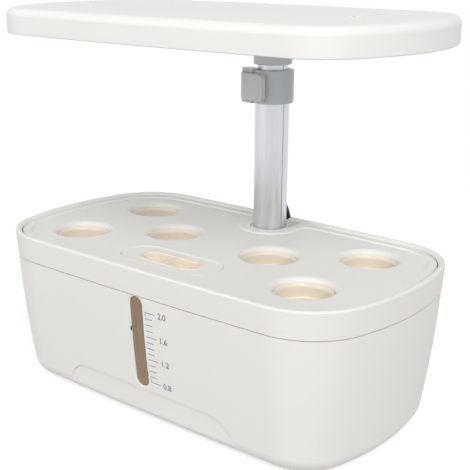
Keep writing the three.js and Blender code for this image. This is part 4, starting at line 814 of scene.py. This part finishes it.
carve(tray, diffuser_slab(5.3, 1, 6.7), operation="UNION")
lamp_screws = ((-70, -63.9), (70, -63.9), (-97, 47), (97, 47))
carve(tray, diffuser_slab(3.3, 2.5, 9), diffuser_slab(0, -1, 8),
      *(rod(2.8, lamp_at[2] - 1, lamp_at[2] + 2.2, x, y + lamp_at[1], steps=24) for x, y in lamp_screws))
dress(tray, lamp_white, "lamp", "shell", "lamp_tray")
milky = moulded("milky_diffuser", (246, 247, 245), 0.35, mottle=2, grain=0.5, grain_size=1.2 * mm)
dress(piece("milky_panel", diffuser_slab(3, 2.8, 4.3, soft=0.2)), milky, "lamp", "diffuser", "diffuser")
wear(moulded("light_board", (240, 240, 236), 0.4, mottle=3, grain=0.1), "led_board")
wear(moulded("green_circuit", (34, 108, 62), 0.45, mottle=10, grain=0.4), "driver_board")
wear(steel, *(f"lamp_screw_{index}" for index in range(1, 5)))

# Touch button
# White moulded cap in a hole of the lamp's top, a quarter of a millimetre proud, with a small dark lens in its
# middle. The flange at its foot lies under the cover and keeps it in.
cap = turned(section([
    (0, 9.4), (2.5, 9.4), (2.5, 11.8), (6, 11.8), (6, 12.8), (4.5, 12.8), (4.5, 15.35, 0.4), (1.4, 15.35),
    (1.4, 14.55), (0, 14.55),
]), at=button_at, steps=48)
dress(piece("button_cap", cap), lamp_white, "button", "shell", "mode_button")
lens = turned(section([(0, 14.85), (1.1, 14.85), (1.1, 15.35, 0.2), (0, 15.35)]), at=button_at, steps=32)
dress(piece("button_dot", lens), dark, "button", "dark_plastic", "button_lens")

# Planting deck
# One thin white moulding that rests on the rim's ledge. A round lip goes along its edge and round the notch for
# the pole, and its field is pierced by six planting holes and the filler port.
field = 95.74
lip = 0.95
lip_foot = field + lip - 0.8
skirt_foot = 90.8
edge_in = 4.5
field_in = 9.4
notch_in = 12.4
notch_back = 69.58
notch_out = 19.1
notch_meets = 64.65


def deck_face(shape, inset, height, *side):
    """A face inside the tank's oval, with a notch for the pole whose right side goes through some points."""
    edge = tank_round.sweep(section([(inset, height)]), fill=False)
    gone = [point for point in edge.verts if point.co.y > 0 and abs(point.co.x) < (side[0][0] + 9) * mm]
    bmesh.ops.delete(edge, geom=gone, context="VERTS")
    ends = sorted((point for point in edge.verts if len(point.link_edges) == 1), key=lambda point: point.co.x)
    for end, way in zip(ends, (-1, 1)):
        last = end
        for x, y in side:
            following = edge.verts.new((way * x * mm, y * mm, height * mm))
            edge.edges.new((last, following))
            last = following
    middle = (0, pole_back * mm, height * mm)
    bmesh.ops.spin(edge, geom=[last], cent=middle, axis=(0, 0, 1), angle=-pi, steps=32)
    bmesh.ops.remove_doubles(edge, verts=edge.verts, dist=1e-6)
    gather(shape, edge)
    shape.verts.ensure_lookup_table()
    made = bmesh.ops.contextual_create(shape, geom=[line for line in shape.edges if line.is_wire])["faces"][0]
    if made.normal.z < 0:
        made.normal_flip()
    return made


def stepped(shape, face, steps):
    """Insets a face in steps of (width, rise), and takes away what is left of it."""
    for width, rise in steps:
        bmesh.ops.inset_region(
            shape, faces=[face], thickness=width * mm, depth=rise * mm, use_boundary=True, use_even_offset=True,
        )
    bmesh.ops.delete(shape, geom=[face], context="FACES_ONLY")


def open_edges(shape, height):
    """Edges at a height that have no face on at least one side."""
    return [
        edge for edge in shape.edges
        if len(edge.link_faces) < 2 and all(abs(point.co.z - height * mm) < 2e-5 for point in edge.verts)
    ]


deck_skin = bmesh.new()
skin = deck_face(deck_skin, edge_in, lip_foot, (notch_in, notch_back), (notch_in, pole_back))
stepped(deck_skin, skin, ((0.11, 0.4), (0.29, 0.29), (0.4, 0.11)))
skin = deck_face(deck_skin, field_in, field + lip, (notch_out, notch_meets), (notch_out, pole_back))
for side in (-1, 1):
    meets = Vector((side * notch_out, notch_meets))
    corner = min(skin.verts, key=lambda point: (point.co.xy / mm - meets).length)
    soften(deck_skin, [corner], 6, 10, affect="VERTICES")
    skin = max(deck_skin.faces, key=lambda face: face.calc_area())
stepped(deck_skin, skin, (
    (0.15, -0.03), (0.17, -0.12), (0.16, -0.2), (0.16, -0.25), (0.17, -0.2), (0.18, -0.11), (0.2, -0.04),
))
lip_sides = open_edges(deck_skin, field + lip)
bmesh.ops.triangle_fill(deck_skin, edges=lip_sides, use_beauty=True, normal=(0, 0, 1))
skirt = bmesh.ops.extrude_edge_only(deck_skin, edges=open_edges(deck_skin, lip_foot))["geom"]
skirt_points = [part for part in skirt if isinstance(part, bmesh.types.BMVert)]
bmesh.ops.translate(deck_skin, verts=skirt_points, vec=(0, 0, skirt_foot * mm - lip_foot * mm))
holes = [(-86.8, -32.1), (-85.8, 34.8), (-37.9, 1.8), (37.9, 1.8), (86.8, -32.1), (85.8, 34.8)]
for x, y in holes:
    gather(deck_skin, turned(section([
        (20.4, 0), (16.7, 0, 3.3), (16.7, -12.6, 0.5), (14, -12.6, 0.4), (14, -13.4),
    ], steps=8), at=(x, y, field), steps=72, fill=False))
port_at = (0, -42.6, field)
port_half_long = 35.3
port_end = 14.5
gather(deck_skin, Track.rectangle(port_half_long, port_end, port_end, steps=20).sweep(section([
    (-0.4, 0), (0, 0, 0.3), (0, -2.5, 0.3), (3.7, -2.5, 0.3), (3.7, -4),
]), at=port_at, fill=False))
bmesh.ops.triangle_fill(deck_skin, edges=open_edges(deck_skin, field), use_beauty=True, normal=(0, 0, 1))
bmesh.ops.recalc_face_normals(deck_skin, faces=deck_skin.faces)
widest = max(deck_skin.faces, key=lambda face: face.calc_area())
if widest.normal.z < 0:
    bmesh.ops.reverse_faces(deck_skin, faces=deck_skin.faces)
planting_deck = piece("planting_deck", deck_skin)
wall = planting_deck.modifiers.new("wall", "SOLIDIFY")
wall.thickness = 2 * mm
wall.offset = -1
deck_white = moulded("deck_white_plastic", (237, 236, 232), 0.46, mottle=1.5, grain=0.12)
dress(planting_deck, deck_white, "planting_deck", "deck", "deck", sharp=50)

# Net cups
# Cream moulded cups in the planting holes. A step rests on the hole's ledge, and the net below it lets roots and
# water through.
cream = moulded("cream_plastic", (236, 225, 209), 0.45, mottle=2, grain=0.12)
cup_sunk = 2.9
cup_slots = 4
for index, (x, y) in enumerate(holes, 1):
    cup = piece(f"cup_net_{index}", turned(section([
        (0, -43), (10.4, -43, 1.2), (13.2, -9.4), (16.4, -9.4, 0.4), (16.5, 0), (16.1, -0.2), (15.2, -1.7, 0.6),
        (15.2, -8.3, 0.8), (12, -8.3, 0.5), (9.3, -41.8, 1), (0, -41.8),
    ], steps=4), steps=64))
    carve(cup, *(
        put(box(4, 15, -1.3, 1.3, -39, -22.2), pi / 4 + slot * tau / cup_slots, "Z") for slot in range(cup_slots)
    ))
    cup.data.transform(Matrix.Translation((x * mm, y * mm, (field - cup_sunk) * mm)))
    dress(cup, cream, f"cup_{index}", "cream", f"net_cup_{index}")

# Filler lid
# White moulded lid that closes the filler port, a little lower inside its edge. It lies loose on the port's ledge
# and lifts out together with the grip bowl.
lid_cover = piece("lid_cover", Track.rectangle(35.1, 14.3, 14.3, steps=20).sweep(section([
    (6, -2.2), (5.1, -2.2), (5.1, -6.2, 0.3), (3.7, -6.2, 0.3), (3.7, -2.2), (0, -2.2, 0.3), (0, 0, 0.2),
    (0.35, 0), (1, -0.4, 0.2), (3, -0.4),
]), at=port_at))


def port_slab(half_length, half_width, low, high):
    """A slot-shaped block over the filler port, with heights from the deck's field."""
    return Track.rectangle(half_length, half_width, half_width, steps=16).sweep(
        section([(4, low), (0, low), (0, high), (4, high)]), at=port_at)


carve(lid_cover, port_slab(22.8, 8.7, -1.3, 2), port_slab(22.7, 8.6, -5, 1))
dress(lid_cover, deck_white, "lid", "deck", "filler_lid")

# Grip bowl
# Cream moulded insert, pressed into the lid's slot with its edge in a rebate round the slot. A waisted web across
# its middle is there to pinch the lid by.
bowl = piece("grip_bowl", Track.rectangle(22.75, 8.65, 8.65, steps=20).sweep(section([
    (4.4, -7.6), (1.2, -7.6, 1.8), (1.2, -1), (0, -1, 0.2), (0, 0, 0.4), (2.3, 0, 0.9), (2.9, -6.5, 2.2), (5.8, -6.5),
]), at=port_at))
web_reach = 6.6
web_steps = 14
web_waist = 1.455
web_flare = 2.945
web_outline = []
for side in (1, -1):
    for step in range(web_steps + 1):
        along = side * web_reach * (2 * step / web_steps - 1)
        web_outline.append((side * (web_waist + web_flare * (along / web_reach) ** 2), along))
web = plate(web_outline, -0.5, -6.4)
soften(web, edges_where(web, lambda x, y, z, way: z > -0.6 and abs(x) < 4.3), 0.5, 4)
bmesh.ops.translate(web, verts=web.verts, vec=Vector(port_at) * mm)
carve(bowl, web, operation="UNION")
dress(bowl, cream, "lid", "cream", "filler_grip")

# Pump
# A small black circulation pump on four suction cups in the tank, with a slotted cover over its rotor, and its
# thin lead to the pole's socket.
pump_black = moulded("pump_black", (47, 49, 53), 0.55, mottle=4, grain=0.3)
wear(pump_black, "pump_housing", "pump_cover", "pump_outlet")
wear(rubber, *(f"suction_cup_{index}" for index in range(1, 5)))
wear(moulded("rotor_grey", (214, 216, 220), 0.5, mottle=4, grain=0.2), "impeller")
wear(moulded("shaft_ceramic", (242, 240, 234), 0.25, mottle=2, grain=0.1), "impeller_shaft")
pump_route = [
    (25.5, 14.5, 29.7), (25.5, 14.5, 31.3), (21.5, 20.5, 33.3), (12.75, 33.2, 33.8), (3.19, 47.2, 31.9),
    (0, pole_back, 40.2), (0, pole_back, 41.5),
]
pump_lead = lead("pump_lead", pump_route, 2.6 * mm)
pump_lead.data.materials.append(lead_vinyl)
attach(pump_lead, "tank")
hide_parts("pump_cord")
